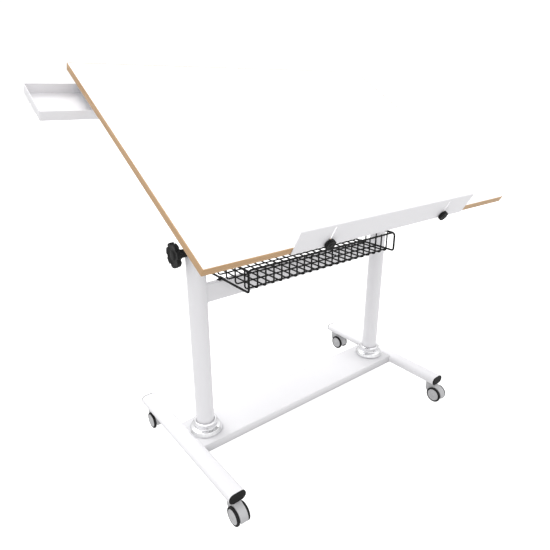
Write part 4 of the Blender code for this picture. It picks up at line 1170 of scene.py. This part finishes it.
# %% Floor
floor_finish = Recipe("studio_floor", Roughness=0.9, Emission_Strength=1.1)
dust = floor_finish.noise(floor_finish.place(), 1.5, 4.0)
floor_colour = floor_finish.blend(dust, (0.31, 0.31, 0.31), (0.29, 0.29, 0.29))
looked_at = floor_finish.node("ShaderNodeLightPath", output="Is Camera Ray")
floor_glow = floor_finish.blend(looked_at, (0.42, 0.42, 0.42), (1.0, 1.0, 1.0))
floor_mesh = bpy.data.meshes.new("studio_floor")
edge = 30.0
floor_mesh.from_pydata([(-edge, -edge, 0), (edge, -edge, 0), (edge, edge, 0), (-edge, edge, 0)], [], [(0, 1, 2, 3)])
floor_mesh.materials.append(floor_finish.wears(Base_Color=floor_colour, Emission_Color=floor_glow))
floor = bpy.data.objects.new("studio_floor", floor_mesh)
bpy.context.scene.collection.objects.link(floor)
floor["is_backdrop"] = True

# %% Dome
class Dome(Recipe):
    """The world's own network: the same helpers, ending in its Background shader."""

    def __init__(self, name):
        self.material = bpy.data.worlds.new(name)
        self.material.use_nodes = True
        self.tree = self.material.node_tree
        self.shader = self.tree.nodes["Background"]
        self.shader.inputs["Color"].default_value = (1.0, 1.0, 1.0, 1.0)


dome = Dome("studio_dome")
ray = dome.node("ShaderNodeTexCoord", output="Generated")
height = dome.node("ShaderNodeSeparateXYZ", {}, {0: ray}, output=2)
horizon, zenith = 0.60, 1.62
glow = horizon + dome.node("ShaderNodeMath", {"operation": "MAXIMUM"}, {0: height, 1: 0.0}) * (zenith - horizon)
seen = dome.node("ShaderNodeLightPath", output="Is Camera Ray")
bpy.context.scene.world = dome.wears(Strength=glow * (1.0 - seen) + seen * 1.05)

# %% Suns
for name, energy, heading in (("overhead_sun", 0.90, (0.05, -0.20, -0.98)), ("rear_sun", 0.50, (0.12, -0.52, -0.85))):
    lamp = bpy.data.lights.new(name, "SUN")
    lamp.energy = energy
    lamp.angle = np.radians(24.0)
    sun = bpy.data.objects.new(name, lamp)
    sun.rotation_euler = Vector(heading).to_track_quat("-Z", "Y").to_euler()
    bpy.context.scene.collection.objects.link(sun)
    print(f"{name}: {energy} W per square metre, heading {heading}")
print("the dome goes from", horizon, "up to", zenith)

# %% Camera
camera_data = bpy.data.cameras.new("camera")
camera_data.lens = 31.24
camera = bpy.data.objects.new("camera", camera_data)
camera.location = (-1.0494, -1.2009, 1.1820)
camera.rotation_euler = np.radians((68.95, 0.0, -37.99))
bpy.context.scene.collection.objects.link(camera)
bpy.context.scene.camera = camera
bpy.context.scene.view_settings.view_transform = "Standard"

# %% Finish
low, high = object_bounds()
print("visual size:", [round(b - a, 4) for a, b in zip(low, high)])
